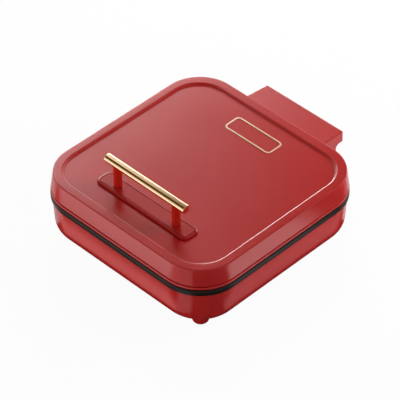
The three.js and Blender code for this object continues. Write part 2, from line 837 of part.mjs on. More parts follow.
function baseShell() {
  const outer = shellBody(0, shellTop);
  const hollow = shellBody(housingWall, shellTop + overrun);
  const feet = footPlaces.map(([x, y]) => foot({ x, y }));
  const sockets = footPlaces.map(([x, y]) => {
    const high = padThickness + seatGap;
    return rod(padRadius + runningGap, { x, y, low: -overrun, high, sides: pinSides });
  });
  const lipCut = box({
    left: -knuckleEnd - runningGap,
    right: knuckleEnd + runningGap,
    front: seatRear,
    rear: seatLipRear + overrun,
    low: seatFootHeight,
    high: seatTop + overrun,
  });
  const ringRoom = prism(
    housing(ringReach + runningGap, 0).outline,
    ringBottom - runningGap,
    seatTop + overrun,
  );
  const seat = hingeSeat(0, halfDepth - cornerRadius).subtract(lipCut).subtract(ringRoom);
  const seatHollow = hingeSeat(housingWall, halfDepth - cornerRadius).subtract(outer);
  const window = box({
    left: housingWall - knuckleEnd,
    right: knuckleEnd - housingWall,
    front: halfDepth - housingWall - overrun,
    rear: halfDepth + shellTopReach + overrun,
    low: seatFootHeight + housingWall + seatKneeHeight / 2,
    high: ringBottom - housingWall - runningGap,
  });
  const web = {
    front: seatRear - housingWall / 2,
    rear: hingeY,
    low: hingeZ - knuckleRadius,
    high: hingeZ + knuckleRadius,
  };
  const knuckles = [
    knuckle({ left: knuckleOuter, right: knuckleEnd, web }),
    knuckle({ left: -knuckleEnd, right: -knuckleOuter, web }),
  ];
  const pinBores = [1, -1].map((side) => {
    const ends = [side * knuckleStart, side * (knuckleEnd + overrun)];
    return rodAlongX(pinRadius + pinBoreGap, {
      left: Math.min(...ends),
      right: Math.max(...ends),
      y: hingeY,
      z: hingeZ,
      sides: pinSides,
    });
  });
  const bosses = baseScrewPlaces.map(([x, y]) =>
    rod(baseBossRadius, { x, y, low: underside, high: basePostBottom - runningGap }),
  );
  const wells = baseScrewPlaces.flatMap(([x, y]) => [
    rod(screwHeadRadius + runningGap, { x, y, low: -overrun, high: underside + screwWellDepth }),
    rod(screwRadius + screwHoleGap, { x, y, low: underside, high: basePostBottom + overrun }),
  ]);
  const pegs = pegPlaces.map(([x, y]) => rod(pegRadius, { x, y, low: underside, high: terminalFloor }));
  const glandHole = rodAlongY(glandNeck + runningGap, {
    front: halfDepth - cornerRadius,
    rear: halfDepth + cornerRadius,
    x: glandX,
    z: glandHeight,
    sides: pinSides,
  });
  return join([outer, ...feet, seat])
    .subtract(hollow)
    .subtract(seatHollow)
    .subtract(window)
    .add(join(knuckles))
    .subtract(join(pinBores))
    .add(join(bosses).intersect(outer))
    .add(join(pegs))
    .subtract(join([...wells, ...sockets]))
    .subtract(ventSlots())
    .subtract(glandHole);
}

// Small parts of the base

function footPad({ x, y }) {
  return rod(padRadius, { x, y, low: 0, high: padThickness, sides: pinSides });
}

function hingePin(side) {
  const inner = knuckleStart - seatGap;
  const shank = rodAlongX(pinRadius, {
    left: side > 0 ? inner : -knuckleEnd - seatGap,
    right: side > 0 ? knuckleEnd + seatGap : -inner,
    y: hingeY,
    z: hingeZ,
    sides: pinSides,
  });
  const headStart = inner - pinHeadHeight;
  const head = rodAlongX(pinHeadRadius, {
    left: side > 0 ? headStart : -inner,
    right: side > 0 ? inner : -headStart,
    y: hingeY,
    z: hingeZ,
    sides: pinSides,
  });
  return shank.add(head);
}

function cordGland() {
  const inside = halfDepth + shellReach - housingWall - runningGap;
  const outside = halfDepth + shellTopReach + runningGap;
  const profile = [
    [glandBore, inside - glandFlangeThickness],
    [glandFlange - glandFlangeThickness, inside - glandFlangeThickness],
    [glandFlange - glandFlangeThickness, inside],
    [glandNeck, inside],
    [glandNeck, outside],
    [glandFlange, outside],
    [glandFlange - glandFlangeThickness / 2, outside + glandFlangeThickness],
    [glandBore, outside + glandFlangeThickness],
    [glandBore, inside - glandFlangeThickness],
  ];
  const points = profile.map(([radius, along]) => new THREE.Vector2(radius, along));
  const geometry = new THREE.LatheGeometry(points, pinSides);
  return solidOf(geometry.translate(glandX, 0, glandHeight));
}

function thermostat() {
  const neck = thermostatRadius * thermostatNeckShare;
  const top = lowerShield - seatGap;
  const shoulder = top - thermostatHeight * thermostatNeckHeightShare;
  const profile = [
    [0, top - thermostatHeight],
    [neck, top - thermostatHeight],
    [neck, shoulder],
    [thermostatRadius, shoulder],
    [thermostatRadius, top],
    [0, top],
  ];
  return turned(profile, { y: -sensorOffset, sides: pinSides });
}

// A fuse lies in the channel between two pockets, where their sloping walls leave just enough room.
function thermalFuse(face, side, pocketDepth) {
  const slope = (pocketShares[1][0] * pocketInradius) / (pocketDepth * pocketShares[1][1]);
  const needed = (fuseRadius + runningGap) * Math.hypot(1, slope);
  const depth = (needed - (crossWeb / 2 - plateWall)) / slope;
  const z = face + side * (plateWall + depth);
  const ends = { front: fuseOffset - fuseLength / 2, rear: fuseOffset + fuseLength / 2 };
  const leads = { front: ends.front - fuseLength / 2, rear: ends.rear + fuseLength / 2 };
  const body = rodAlongY(fuseRadius, { ...ends, x: 0, z, sides: elementSides });
  return body.add(rodAlongY(fuseRadius / 3, { ...leads, x: 0, z, sides: wireSides }));
}

function terminalBlock() {
  const low = terminalFloor + seatGap;
  const high = low + terminalHeight;
  const half = terminalWidth / 2;
  const front = terminalY - terminalDepth / 2;
  const rear = terminalY + terminalDepth / 2;
  const body = box({ left: terminalX - half, right: terminalX + half, front, rear, low, high });
  const wells = [-1, 0, 1].map((place) =>
    rod(terminalPitch * terminalWellShare, {
      x: terminalX + place * terminalPitch,
      y: terminalY,
      low: low + terminalHeight / 2,
      high: high + overrun,
      sides: wireSides,
    }),
  );
  const passages = [-1, 0, 1].map((place) =>
    rodAlongY(terminalPitch * terminalPassageShare, {
      front: front - overrun,
      rear: rear + overrun,
      x: terminalX + place * terminalPitch,
      z: low + terminalHeight * terminalPassageHeightShare,
      sides: wireSides,
    }),
  );
  return body.subtract(join([...wells, ...passages]));
}

// A wire from a passage of the terminal block to one end of the lower element.
function supplyWire(place, side) {
  const start = new THREE.Vector3(
    terminalX + place * terminalPitch,
    terminalY + terminalDepth / 2 + runningGap,
    terminalFloor + seatGap + terminalHeight * terminalPassageHeightShare,
  );
  const elementZ = lowerBack - runningGap - elementDiameter / 2;
  const end = new THREE.Vector3(
    side * elementTerminalOffset,
    elementRear + runningGap,
    elementZ,
  );
  const points = [
    start,
    start.clone().add(new THREE.Vector3(0, wireSlack, 0)),
    new THREE.Vector3((start.x + end.x) / 2, end.y + wireSlack, (start.z + end.z) / 2),
    end.clone().add(new THREE.Vector3(0, wireSlack, 0)),
    end,
  ];
  return tube(new THREE.CatmullRomCurve3(points), wireRadius, wireSides, wireStepCount);
}

// Handle and badge outline

const handlePlateTop = panelHeight + seatGap + handlePlateThickness;
const barZ = panelHeight + barHeight;

function handlePlate() {
  const size = (inset, z) => ({
    outline: roundedRectangle({
      width: handlePlateWidth - 2 * inset,
      depth: handlePlateDepth - 2 * inset,
      radius: handlePlateCorner - inset,
      y: handleY,
      steps: edgeSteps + 1,
    }),
    z,
  });
  const body = loft([
    size(0, panelHeight + seatGap),
    size(0, handlePlateTop - handlePlateBevel),
    size(handlePlateBevel, handlePlateTop),
  ]);
  const holes = [-postOffset, postOffset].map((x) =>
    rod(screwRadius + screwHoleGap, { x, y: handleY, low: panelUnderside, high: handlePlateTop + overrun }),
  );
  return body.subtract(join(holes));
}

function handlePost(x) {
  const low = handlePlateTop + seatGap;
  const post = rod(postRadius, { x, y: handleY, low, high: barZ, sides: barSides });
  const saddle = rodAlongX(barRadius + runningGap, {
    left: -barHalfLength,
    right: barHalfLength,
    y: handleY,
    z: barZ,
    sides: barSides,
  });
  const hole = rod(screwRadius + screwHoleGap, { x, y: handleY, low: low - overrun, high: barZ });
  return post.subtract(saddle).subtract(hole);
}

function handleBar() {
  const end = barHalfLength;
  const profile = [
    [0, -end],
    [barRadius - barChamfer, -end],
    [barRadius, barChamfer - end],
    [barRadius, end - barChamfer],
    [barRadius - barChamfer, end],
    [0, end],
  ];
  const points = profile.map(([radius, along]) => new THREE.Vector2(radius, along));
  const geometry = new THREE.LatheGeometry(points, barSides);
  const bar = solidOf(geometry.rotateZ(-quarterTurn).translate(0, handleY, barZ));
  const holes = [-postOffset, postOffset].map((x) =>
    rod(screwRadius + screwHoleGap, { x, y: handleY, low: barZ - 2 * barRadius, high: barZ + seatGap }),
  );
  return bar.subtract(join(holes));
}

function badgeFrame() {
  const low = panelHeight + seatGap;
  const high = low + badgeThickness;
  const frame = (inset) =>
    roundedRectangle({
      width: badgeWidth - 2 * inset,
      depth: badgeDepth - 2 * inset,
      radius: badgeCorner - inset,
      y: badgeY,
      steps: edgeSteps + 1,
    });
  return prism(frame(0), low, high).subtract(prism(frame(badgeLine), low - overrun, high + overrun));
}

// Materials

function material(color, roughness, metalness) {
  return new THREE.MeshStandardMaterial({ color, roughness, metalness });
}

const materials = {
  housing: () => material(0xa93634, 0.34, 0),
  ring: () => material(0x1c1a18, 0.45, 0),
  brass: () => material(0xd9b26a, 0.16, 1),
  coating: () => material(0x2a2b2d, 0.5, 0.1),
  steel: () => material(0xa9adb0, 0.32, 1),
  aluminium: () => material(0xc2c5c8, 0.38, 1),
  rubber: () => material(0x202020, 0.85, 0),
  ceramic: () => material(0xe8e2d6, 0.5, 0),
  insulation: () => material(0xd8d4cc, 0.7, 0),
  blackPlastic: () => material(0x242424, 0.55, 0),
};

function named(name, solid, makeMaterial) {
  const data = solid.getMesh();
  const stride = data.numProp;
  const positions = new Float32Array(data.numVert * 3);
  for (let i = 0; i < data.numVert; i++) {
    positions.set(data.vertProperties.subarray(i * stride, i * stride + 3), i * 3);
  }
  const geometry = new THREE.BufferGeometry();
  geometry.setAttribute("position", new THREE.BufferAttribute(positions, 3));
  geometry.setIndex(new THREE.BufferAttribute(new Uint32Array(data.triVerts), 1));
  geometry.computeVertexNormals();
  const mesh = new THREE.Mesh(geometry, makeMaterial());
  mesh.name = name;
  return mesh;
}

// Assembly

const base = new THREE.Group();
const lid = new THREE.Group();
const cornerNames = ["rear_right", "rear_left", "front_left", "front_right"];
const sideNames = ["right", "rear", "left", "front"];

const lowerPlate = cookingPlate(
  lowerPocketDepth,
  lowerFace - lowerShield - seatGap,
  lowerFace - lowerShield,
)
  .rotate([180, 0, 0])
  .translate([0, 0, lowerFace]);
const upperPlate = cookingPlate(upperPocketDepth, upperShield - upperFace - seatGap, 0).translate([
  0,
  0,
  upperFace,
]);

base.add(named("base_shell", baseShell(), materials.housing));
base.add(named("base_ring", baseRing(), materials.ring));
base.add(named("lower_plate", lowerPlate, materials.coating));
base.add(named(
  "lower_heating_element",
  heatingElement(lowerBack - runningGap - elementDiameter / 2),
  materials.steel,
));
base.add(named(
  "lower_heat_shield",
  heatShield({ near: lowerShield, towardsPlate: 1, sensor: -sensorOffset }),
  materials.aluminium,
));
base.add(named("lower_thermostat", thermostat(), materials.ceramic));
base.add(named("lower_thermal_fuse", thermalFuse(lowerFace, -1, lowerPocketDepth), materials.steel));
base.add(named("terminal_block", terminalBlock(), materials.ceramic));
base.add(named("supply_wire_live", supplyWire(-1, -1), materials.insulation));
base.add(named("supply_wire_neutral", supplyWire(1, 1), materials.insulation));
base.add(named("cord_gland", cordGland(), materials.blackPlastic));
base.add(named("hinge_pin_right", hingePin(1), materials.steel));
base.add(named("hinge_pin_left", hingePin(-1), materials.steel));
base.add(named(
  "lower_shield_screw",
  screw({ x: 0, y: 0, seat: lowerShield - shieldThickness - seatGap, length: threadLength / 2 }),
  materials.steel,
));
footPlaces.forEach(([x, y], i) => {
  base.add(named(`foot_pad_${cornerNames[i]}`, footPad({ x, y }), materials.rubber));
});
baseScrewPlaces.forEach(([x, y], i) => {
  const seat = underside + screwWellDepth - seatGap;
  const length = basePostBottom + threadLength - seat;
  base.add(named(`base_screw_${cornerNames[i]}`, screw({ x, y, seat, length }), materials.steel));
});
plateScrewPlaces.forEach(([x, y], i) => {
  const small = { radius: plateScrewRadius, headRadius: plateScrewHeadRadius };
  const length = ledgeThickness + seatGap + plateScrewBite;
  const lowerSeat = lowerLedgeBottom - seatGap;
  const lower = screw({ x, y, seat: lowerSeat, length, ...small });
  const upper = screw({ x, y, seat: lidRingTop + seatGap, length, up: false, ...small });
  base.add(named(`lower_plate_screw_${sideNames[i]}`, lower, materials.steel));
  lid.add(named(`upper_plate_screw_${sideNames[i]}`, upper, materials.steel));
});

lid.add(named("lid_cover", lidCover(), materials.housing));
lid.add(named("lid_ring", lidRing(), materials.housing));
lid.add(named("upper_plate", upperPlate, materials.coating));
lid.add(named(
  "upper_heating_element",
  heatingElement(upperBack + runningGap + elementDiameter / 2),
  materials.steel,
));
lid.add(named(
  "upper_heat_shield",
  heatShield({ near: upperShield, towardsPlate: -1, sensor: 0 }),
  materials.aluminium,
));
lid.add(named("upper_thermal_fuse", thermalFuse(upperFace, 1, upperPocketDepth), materials.steel));
lid.add(named(
  "upper_shield_screw",
  screw({
    x: 0,
    y: 0,
    seat: upperShield + shieldThickness + seatGap,
    length: threadLength / 2,
    up: false,
  }),
  materials.steel,
));
lidScrewPlaces.forEach(([x, y], i) => {
  const seat = lidFloor + screwHeadHeight + runningGap - seatGap;
  const length = lidScrewReach - seat;
  lid.add(named(`lid_screw_${cornerNames[i]}`, screw({ x, y, seat, length }), materials.steel));
});
lid.add(named("handle_plate", handlePlate(), materials.housing));
[[postOffset, "right"], [-postOffset, "left"]].forEach(([x, side]) => {
  const seat = panelUnderside - seatGap;
  lid.add(named(`handle_post_${side}`, handlePost(x), materials.housing));
  const handleScrew = screw({ x, y: handleY, seat, length: barZ - seat - seatGap });
  lid.add(named(`handle_screw_${side}`, handleScrew, materials.steel));
});
lid.add(named("handle_bar", handleBar(), materials.brass));
lid.add(named("badge_frame", badgeFrame(), materials.brass));

// The origin lies on the table under the middle of the whole footprint
const sandwichMaker = new THREE.Group();
sandwichMaker.add(base, lid);
sandwichMaker.position.y = (frontReach - blockRear) / 2;

export default sandwichMaker;
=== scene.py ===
import json
import math
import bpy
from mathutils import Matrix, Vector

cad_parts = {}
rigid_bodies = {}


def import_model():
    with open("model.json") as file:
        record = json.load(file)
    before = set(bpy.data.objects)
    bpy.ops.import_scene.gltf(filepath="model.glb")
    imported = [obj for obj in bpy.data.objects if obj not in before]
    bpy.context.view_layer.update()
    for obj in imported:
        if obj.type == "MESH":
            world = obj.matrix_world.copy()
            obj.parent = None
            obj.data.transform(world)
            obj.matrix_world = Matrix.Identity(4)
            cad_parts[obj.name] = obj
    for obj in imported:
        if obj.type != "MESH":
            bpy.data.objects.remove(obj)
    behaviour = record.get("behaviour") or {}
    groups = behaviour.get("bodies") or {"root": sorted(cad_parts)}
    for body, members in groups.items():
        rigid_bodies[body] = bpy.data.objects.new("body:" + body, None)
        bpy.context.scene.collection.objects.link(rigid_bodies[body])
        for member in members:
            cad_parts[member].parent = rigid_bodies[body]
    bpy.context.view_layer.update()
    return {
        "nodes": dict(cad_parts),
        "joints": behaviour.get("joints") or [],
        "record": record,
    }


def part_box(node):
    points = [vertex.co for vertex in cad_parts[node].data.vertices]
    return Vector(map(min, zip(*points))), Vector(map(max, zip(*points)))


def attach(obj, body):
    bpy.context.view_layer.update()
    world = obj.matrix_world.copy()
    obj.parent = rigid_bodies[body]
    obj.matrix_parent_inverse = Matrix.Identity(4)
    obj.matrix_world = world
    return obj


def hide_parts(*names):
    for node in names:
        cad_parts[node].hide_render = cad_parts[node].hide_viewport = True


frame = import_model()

from types import SimpleNamespace

import bmesh
import bpy
from mathutils import Matrix, Vector

mm = 0.001
quarterTurn = math.pi / 2
scene = bpy.context.scene


def inMillimetres(**sizes):
    # named lengths, given in millimetres and kept in metres
    return SimpleNamespace(**{name: size * mm for name, size in sizes.items()})


# Where the CAD pieces stand

coverLow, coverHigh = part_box("lid_cover")
ringLow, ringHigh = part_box("base_ring")
shellLow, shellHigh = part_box("base_shell")
upperPlateLow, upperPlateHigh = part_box("upper_plate")
barLow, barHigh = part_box("handle_bar")
handlePlateLow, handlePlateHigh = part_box("handle_plate")
badgeLow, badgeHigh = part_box("badge_frame")
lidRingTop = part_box("lid_ring")[1].z
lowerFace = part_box("lower_plate")[1].z
upperFace = upperPlateLow.z
hingeY, hingeZ = frame["joints"][0]["pos_m"][1:]
hingeLine = (0, hingeY, hingeZ)

wall = 2.2 * mm
gap = 0.3 * mm
seatGap = 0.1 * mm
cutPast = 5 * mm  # how far a cutter runs past what it cuts
runOn = 6 * mm  # how far the shell's tools run past or into what they meet
farPast = 20 * mm  # how far the cutters behind the shell run
screwHole = 1.7 * mm
cornerRadius = 42.3 * mm
cornerSteps = 24
curveSteps = 8
ringReach = 3.5 * mm  # how far the black ring stands out from the lid's rim
centreY = (ringLow.y + ringHigh.y) / 2
halfWidth = ringHigh.x - ringReach
halfDepth = (ringHigh.y - ringLow.y) / 2 - ringReach
rimTop = coverHigh.z


# Camera and studio

view = SimpleNamespace(
    azimuth=44.585, elevation=41.873, distance=2477.2 * mm, lens=225.6, sensor=36, near=0.05, far=50,
    sideways=-0.05 * mm, upwards=-30.502 * mm,  # of the picture's middle from the middle of the lid's rim
)


def addObject(name, data):
    made = bpy.data.objects.new(name, data)
    scene.collection.objects.link(made)
    return made


def addCamera():
    data = bpy.data.cameras.new("camera")
    data.lens, data.sensor_width = view.lens, view.sensor
    data.clip_start, data.clip_end = view.near, view.far
    a, e = math.radians(view.azimuth), math.radians(view.elevation)
    right = Vector((math.cos(a), math.sin(a), 0))
    back = Vector((math.sin(a) * math.cos(e), -math.cos(a) * math.cos(e), math.sin(e)))
    up = back.cross(right)
    place = Vector((0, centreY, rimTop)) + back * view.distance
    place += right * view.sideways + up * view.upwards
    scene.camera = addObject("camera", data)
    scene.camera.matrix_world = Matrix.Translation(place) @ Matrix((right, up, back)).transposed().to_4x4()


studio = SimpleNamespace(
    worldLevel=0.1,
    floorSize=9.0,
    floorColour=(0.92, 0.92, 0.92, 1),
    floorRoughness=0.9,
    floorGlow=0.95,  # share of plain white that the camera sees on the floor
    floorInMirrors=0.4,
    lampCentre=Vector((0, 0, 0.05)),
)

lamps = [
    # name, azimuth, elevation, distance, size, power
    ("rearLeft", 135, 15, 1.1, 0.55, 6.6),
    ("highLeft", 137, 52, 1.1, 0.32, 2.9),
    ("rearRight", 45, 15, 1.1, 0.55, 3.5),
    ("nearRight", 48, 36, 0.8, 0.4, 2.5),
    ("sideLeft", 225, 15, 1.1, 0.55, 1.8),
    ("frontFill", 270, 12, 1.1, 0.55, 3.8),
]

frontWall = centreY - halfDepth
nearCorner = (halfWidth - cornerRadius, frontWall + cornerRadius)


def flatCard(left, right, front, rear, height):
    return [(left, front, height), (right, front, height), (right, rear, height), (left, rear, height)]


def sectorCard(centre, inner, outer, start, end, height, steps=16):
    angles = [math.radians(start + (end - start) * i / steps) for i in range(steps + 1)]
    points = [(inner, a) for a in angles] + [(outer, a) for a in reversed(angles)]
    return [(centre[0] + r * math.cos(a), centre[1] + r * math.sin(a), height) for r, a in points]


def standingCard(start, end, low, high):
    return [(*start, low), (*end, low), (*end, high), (*start, high)]


def frontStrip(near, far):
    # a strip on the floor along the front wall, from one distance to another
    return flatCard(-0.2, nearCorner[0], frontWall - far, frontWall - near, stripHeight)


def rightStrip(near, far):
    return flatCard(halfWidth + near, halfWidth + far, nearCorner[1], 0.2, stripHeight)


room = 2.6  # half the width of the room that the cards make
ceiling = 1.0
underCeiling = 0.99
floorCard = 0.0006
stripHeight = 0.0008

# cards that only reflections see: name, corners, brightness and, where it isn't white, colour
reflectionCards = [
    ("darkCeiling", flatCard(-room, room, -room, room, ceiling), 0.09, (1, 0.5, 0.16)),
    ("softBox", flatCard(-1.45, -1.0, 0.2, 1.3, 0.98), 10.5),
    ("softBoxFar", flatCard(-2.4, -1.45, 0.2, 1.3, 0.98), 5.5),
    ("barGlow", flatCard(-2.4, -0.58, -0.4, 0.5, underCeiling), 0.95, (1, 0.97, 0.93)),
    ("barMiddle", flatCard(-0.58, -0.52, -0.4, 0.5, underCeiling), 0.5, (1, 0.93, 0.86)),
    ("barShade", flatCard(-0.52, room, -0.4, 0.5, underCeiling), 0.2, (1, 0.9, 0.8)),
    ("barRear", flatCard(-0.8, -0.64, 0.5, 0.8, underCeiling), 0.45, (1, 0.97, 0.93)),
    ("rearGlow", flatCard(-2.4, -0.85, 1.1, 2.4, underCeiling), 0.9),
    ("rearBand", standingCard((room, room), (-room, room), 0, ceiling), 3.2),
    ("leftBand", standingCard((-room, room), (-room, 1.2), 0.08, ceiling), 17.0),
    ("darkCorner", sectorCard(nearCorner, 0.05, 0.3, -62, 16, floorCard), 0.05),
    ("darkRear", flatCard(0.14, 0.7, 0.1, 0.7, floorCard), 0.1),
    ("paleFront", flatCard(-0.4, 0.02, -0.45, -0.21, floorCard), 1.8),
    ("paleRight", flatCard(0.17, 0.45, -0.05, 0.08, floorCard), 1.7),
    ("footShade", flatCard(-halfWidth, halfWidth, frontWall - 0.013, 0.1, stripHeight), 0.02),
    ("glowFront", frontStrip(0.013, 0.026), 2.1, (1, 0.4, 0.38)),
    ("shadeFront", frontStrip(0.026, 0.06), 0.02),
    ("footCorner", sectorCard(nearCorner, 0.04, 0.055, -90, 0, 0.0009), 0.03),
    ("footRight", rightStrip(0, 0.013), 0.03),
    ("glowRight", rightStrip(0.013, 0.03), 1.2, (1, 0.44, 0.44)),
    ("shadeRight", rightStrip(0.03, 0.05), 0.05),
]


def feed(tree, socket, value):
    # links an output, a node's first output or each of a list of them, and sets anything else
    for source in value if isinstance(value, list) else [value]:
        if isinstance(source, bpy.types.Node):
            source = source.outputs[0]
        if isinstance(source, bpy.types.NodeSocket):
            tree.links.new(source, socket)
        else:
            socket.default_value = source


def addNode(tree, kind, *fed, **named):
    # settings go by name, and inputs by place or by name with an underscore for each space
    made = tree.nodes.new(kind)
    for name, value in named.items():
        socket = made.inputs.get(name.replace("_", " "))
        if socket is None:
            setattr(made, name, value)
        else:
            feed(tree, socket, value)
    for socket, value in zip(made.inputs, fed):
        feed(tree, socket, value)
    return made


def mathNode(tree, operation, *values):
    return addNode(tree, "ShaderNodeMath", *values, operation=operation)


def whiteWhereSeen(tree, seen=1.0, mirrored=1.0):
    # one share on rays from the camera, one in reflections and through glass, nought on rays that give light
    rays = addNode(tree, "ShaderNodeLightPath").outputs
    soft = mathNode(tree, "MAXIMUM", rays["Is Glossy Ray"], rays["Is Transmission Ray"])
    direct = mathNode(tree, "MULTIPLY", rays["Is Camera Ray"], seen)
    return mathNode(tree, "MAXIMUM", direct, mathNode(tree, "MULTIPLY", soft, mirrored))


def startMaterial(name, **values):
    made = bpy.data.materials.new(name)
    made.use_nodes = True
    shader = made.node_tree.nodes["Principled BSDF"]
    for entry, value in values.items():
        shader.inputs[entry.replace("_", " ")].default_value = value
    return made, made.node_tree, shader


def addLamp(name, azimuth, elevation, distance, size, power):
    data = bpy.data.lights.new(name, "AREA")
    data.shape = "RECTANGLE"
    data.size = data.size_y = size
    data.energy = power
    lamp = addObject(name, data)
    a, e = math.radians(azimuth), math.radians(elevation)
    away = Vector((math.cos(a) * math.cos(e), math.sin(a) * math.cos(e), math.sin(e)))
    lamp.location = away * distance + studio.lampCentre
    lamp.rotation_euler = (-away).to_track_quat("-Z", "Y").to_euler()
    lamp.visible_glossy = False  # the cards stand in for the lamps in reflections


def addSheet(name, corners, material):
    mesh = bpy.data.meshes.new(name)
    mesh.from_pydata(corners, [], [tuple(range(len(corners)))])
    mesh.materials.append(material)
    sheet = addObject(name, mesh)
    return sheet


def addReflectionCard(name, corners, brightness, colour=(1, 1, 1)):
    paint, tree = startMaterial(name + "Paint")[:2]
    glow = addNode(tree, "ShaderNodeEmission", Color=(*colour, 1), Strength=brightness)
    feed(tree, tree.nodes["Material Output"].inputs["Surface"], glow)
    card = addSheet(name, corners, paint)
    card.visible_camera = card.visible_diffuse = card.visible_transmission = card.visible_shadow = False


def buildStudio():
    world = bpy.data.worlds.new("studioWorld")
    scene.world = world
    world.use_nodes = True
    tree = world.node_tree
    background = tree.nodes["Background"].inputs
    background["Color"].default_value = (1, 1, 1, 1)
    white = whiteWhereSeen(tree)
    level = addNode(tree, "ShaderNodeMapRange", Value=white, To_Min=studio.worldLevel, To_Max=1.0)
    feed(tree, background["Strength"], level)
    paper, tree, shader = startMaterial(
        "studioPaper", Base_Color=studio.floorColour, Roughness=studio.floorRoughness, Specular_IOR_Level=0,
    )
    glow = addNode(tree, "ShaderNodeEmission", Strength=1.0)
    white = whiteWhereSeen(tree, studio.floorGlow, studio.floorInMirrors)
    mix = addNode(tree, "ShaderNodeMixShader", white, shader, glow)
    feed(tree, tree.nodes["Material Output"].inputs["Surface"], mix)
    half = studio.floorSize / 2
    addSheet("studioFloor", flatCard(-half, half, -half, half, 0), paper)
    for card in reflectionCards:
        addReflectionCard(*card)
    for lamp in lamps:
        addLamp(*lamp)
    scene.view_settings.view_transform = "Standard"


addCamera()
buildStudio()


# Shared shader groups

def startGroup(name, kind, inputs, outputs):
    # each entry is the name of a socket and its kind
    tree = bpy.data.node_groups.new(name, kind + "NodeTree")
    for side, sockets in (("INPUT", inputs), ("OUTPUT", outputs)):
        for entry, socketKind in sockets:
            tree.interface.new_socket(name=entry, in_out=side, socket_type="NodeSocket" + socketKind)
    return tree, addNode(tree, "NodeGroupInput").outputs, addNode(tree, "NodeGroupOutput").inputs


def startSurface(name, *inputs):
    surfaceOutputs = [("Tint", "Float"), ("Roughness", "Float"), ("Height", "Float")]
    group, given, result = startGroup(name, "Shader", inputs, surfaceOutputs)
    place = addNode(group, "ShaderNodeTexCoord").outputs["Object"]
    return group, given, result, place


def noiseNode(tree, place, scale, detail, roughness=0.5):
    return addNode(tree, "ShaderNodeTexNoise", Vector=place, Scale=scale, Detail=detail, Roughness=roughness)


def giveSurface(group, result, tint, roughness, height):
    for entry, source in (("Tint", tint), ("Roughness", roughness), ("Height", height)):
        feed(group, result[entry], source)
    return group


def buildMouldedSkin():
    # the faint waviness and fine grain of a moulded or painted surface
    inputs = [("Wave Scale", "Float"), ("Grain Scale", "Float"), ("Grain Share", "Float")]
    group, given, result, place = startSurface("mouldedSkin", *inputs)
    wave = noiseNode(group, place, given["Wave Scale"], 2.0)
    grain = noiseNode(group, place, given["Grain Scale"], 3.0, 0.6)
    mottle = noiseNode(group, place, 14.0, 4.0, 0.6)
    height = addNode(group, "ShaderNodeMix", data_type="FLOAT", Factor=given["Grain Share"], A=wave, B=grain)
    return giveSurface(group, result, mottle, mottle, height)


def buildBrushedLines():
    # fine lines left by turning or brushing, drawn out along one axis
    group, given, result, place = startSurface("brushedLines", ("Stretch", "Vector"))
    drawn = addNode(group, "ShaderNodeVectorMath", place, given["Stretch"], operation="MULTIPLY")
    lines = noiseNode(group, drawn, 1.0, 3.0)
    return giveSurface(group, result, noiseNode(group, place, 60.0, 3.0), lines, lines)


# Materials

mouldedSkin = buildMouldedSkin()
brushedLines = buildBrushedLines()
noiseSpan = (0.08, 0.92)  # the part of the noise that runs from the first value to the second


def addFinish(name, group, values, first, second, roughness, bumpDepth, specular=0.5, metallic=0.0):
    made, tree, shader = startMaterial(name, Specular_IOR_Level=specular, Metallic=metallic, IOR=1.5)
    surface = addNode(tree, "ShaderNodeGroup", *values, node_tree=group).outputs
    ramp = addNode(tree, "ShaderNodeValToRGB", surface["Tint"])
    for stop, place, colour in zip(ramp.color_ramp.elements, noiseSpan, (first, second)):
        stop.position = place
        stop.color = (*colour, 1)
    rough = addNode(tree, "ShaderNodeMapRange", surface["Roughness"], *noiseSpan, *roughness)
    bump = addNode(tree, "ShaderNodeBump", Strength=1.0, Distance=bumpDepth, Height=surface["Height"])
    for entry, source in (("Base Color", ramp), ("Roughness", rough), ("Normal", bump)):
        feed(tree, shader.inputs[entry], source)
    return made


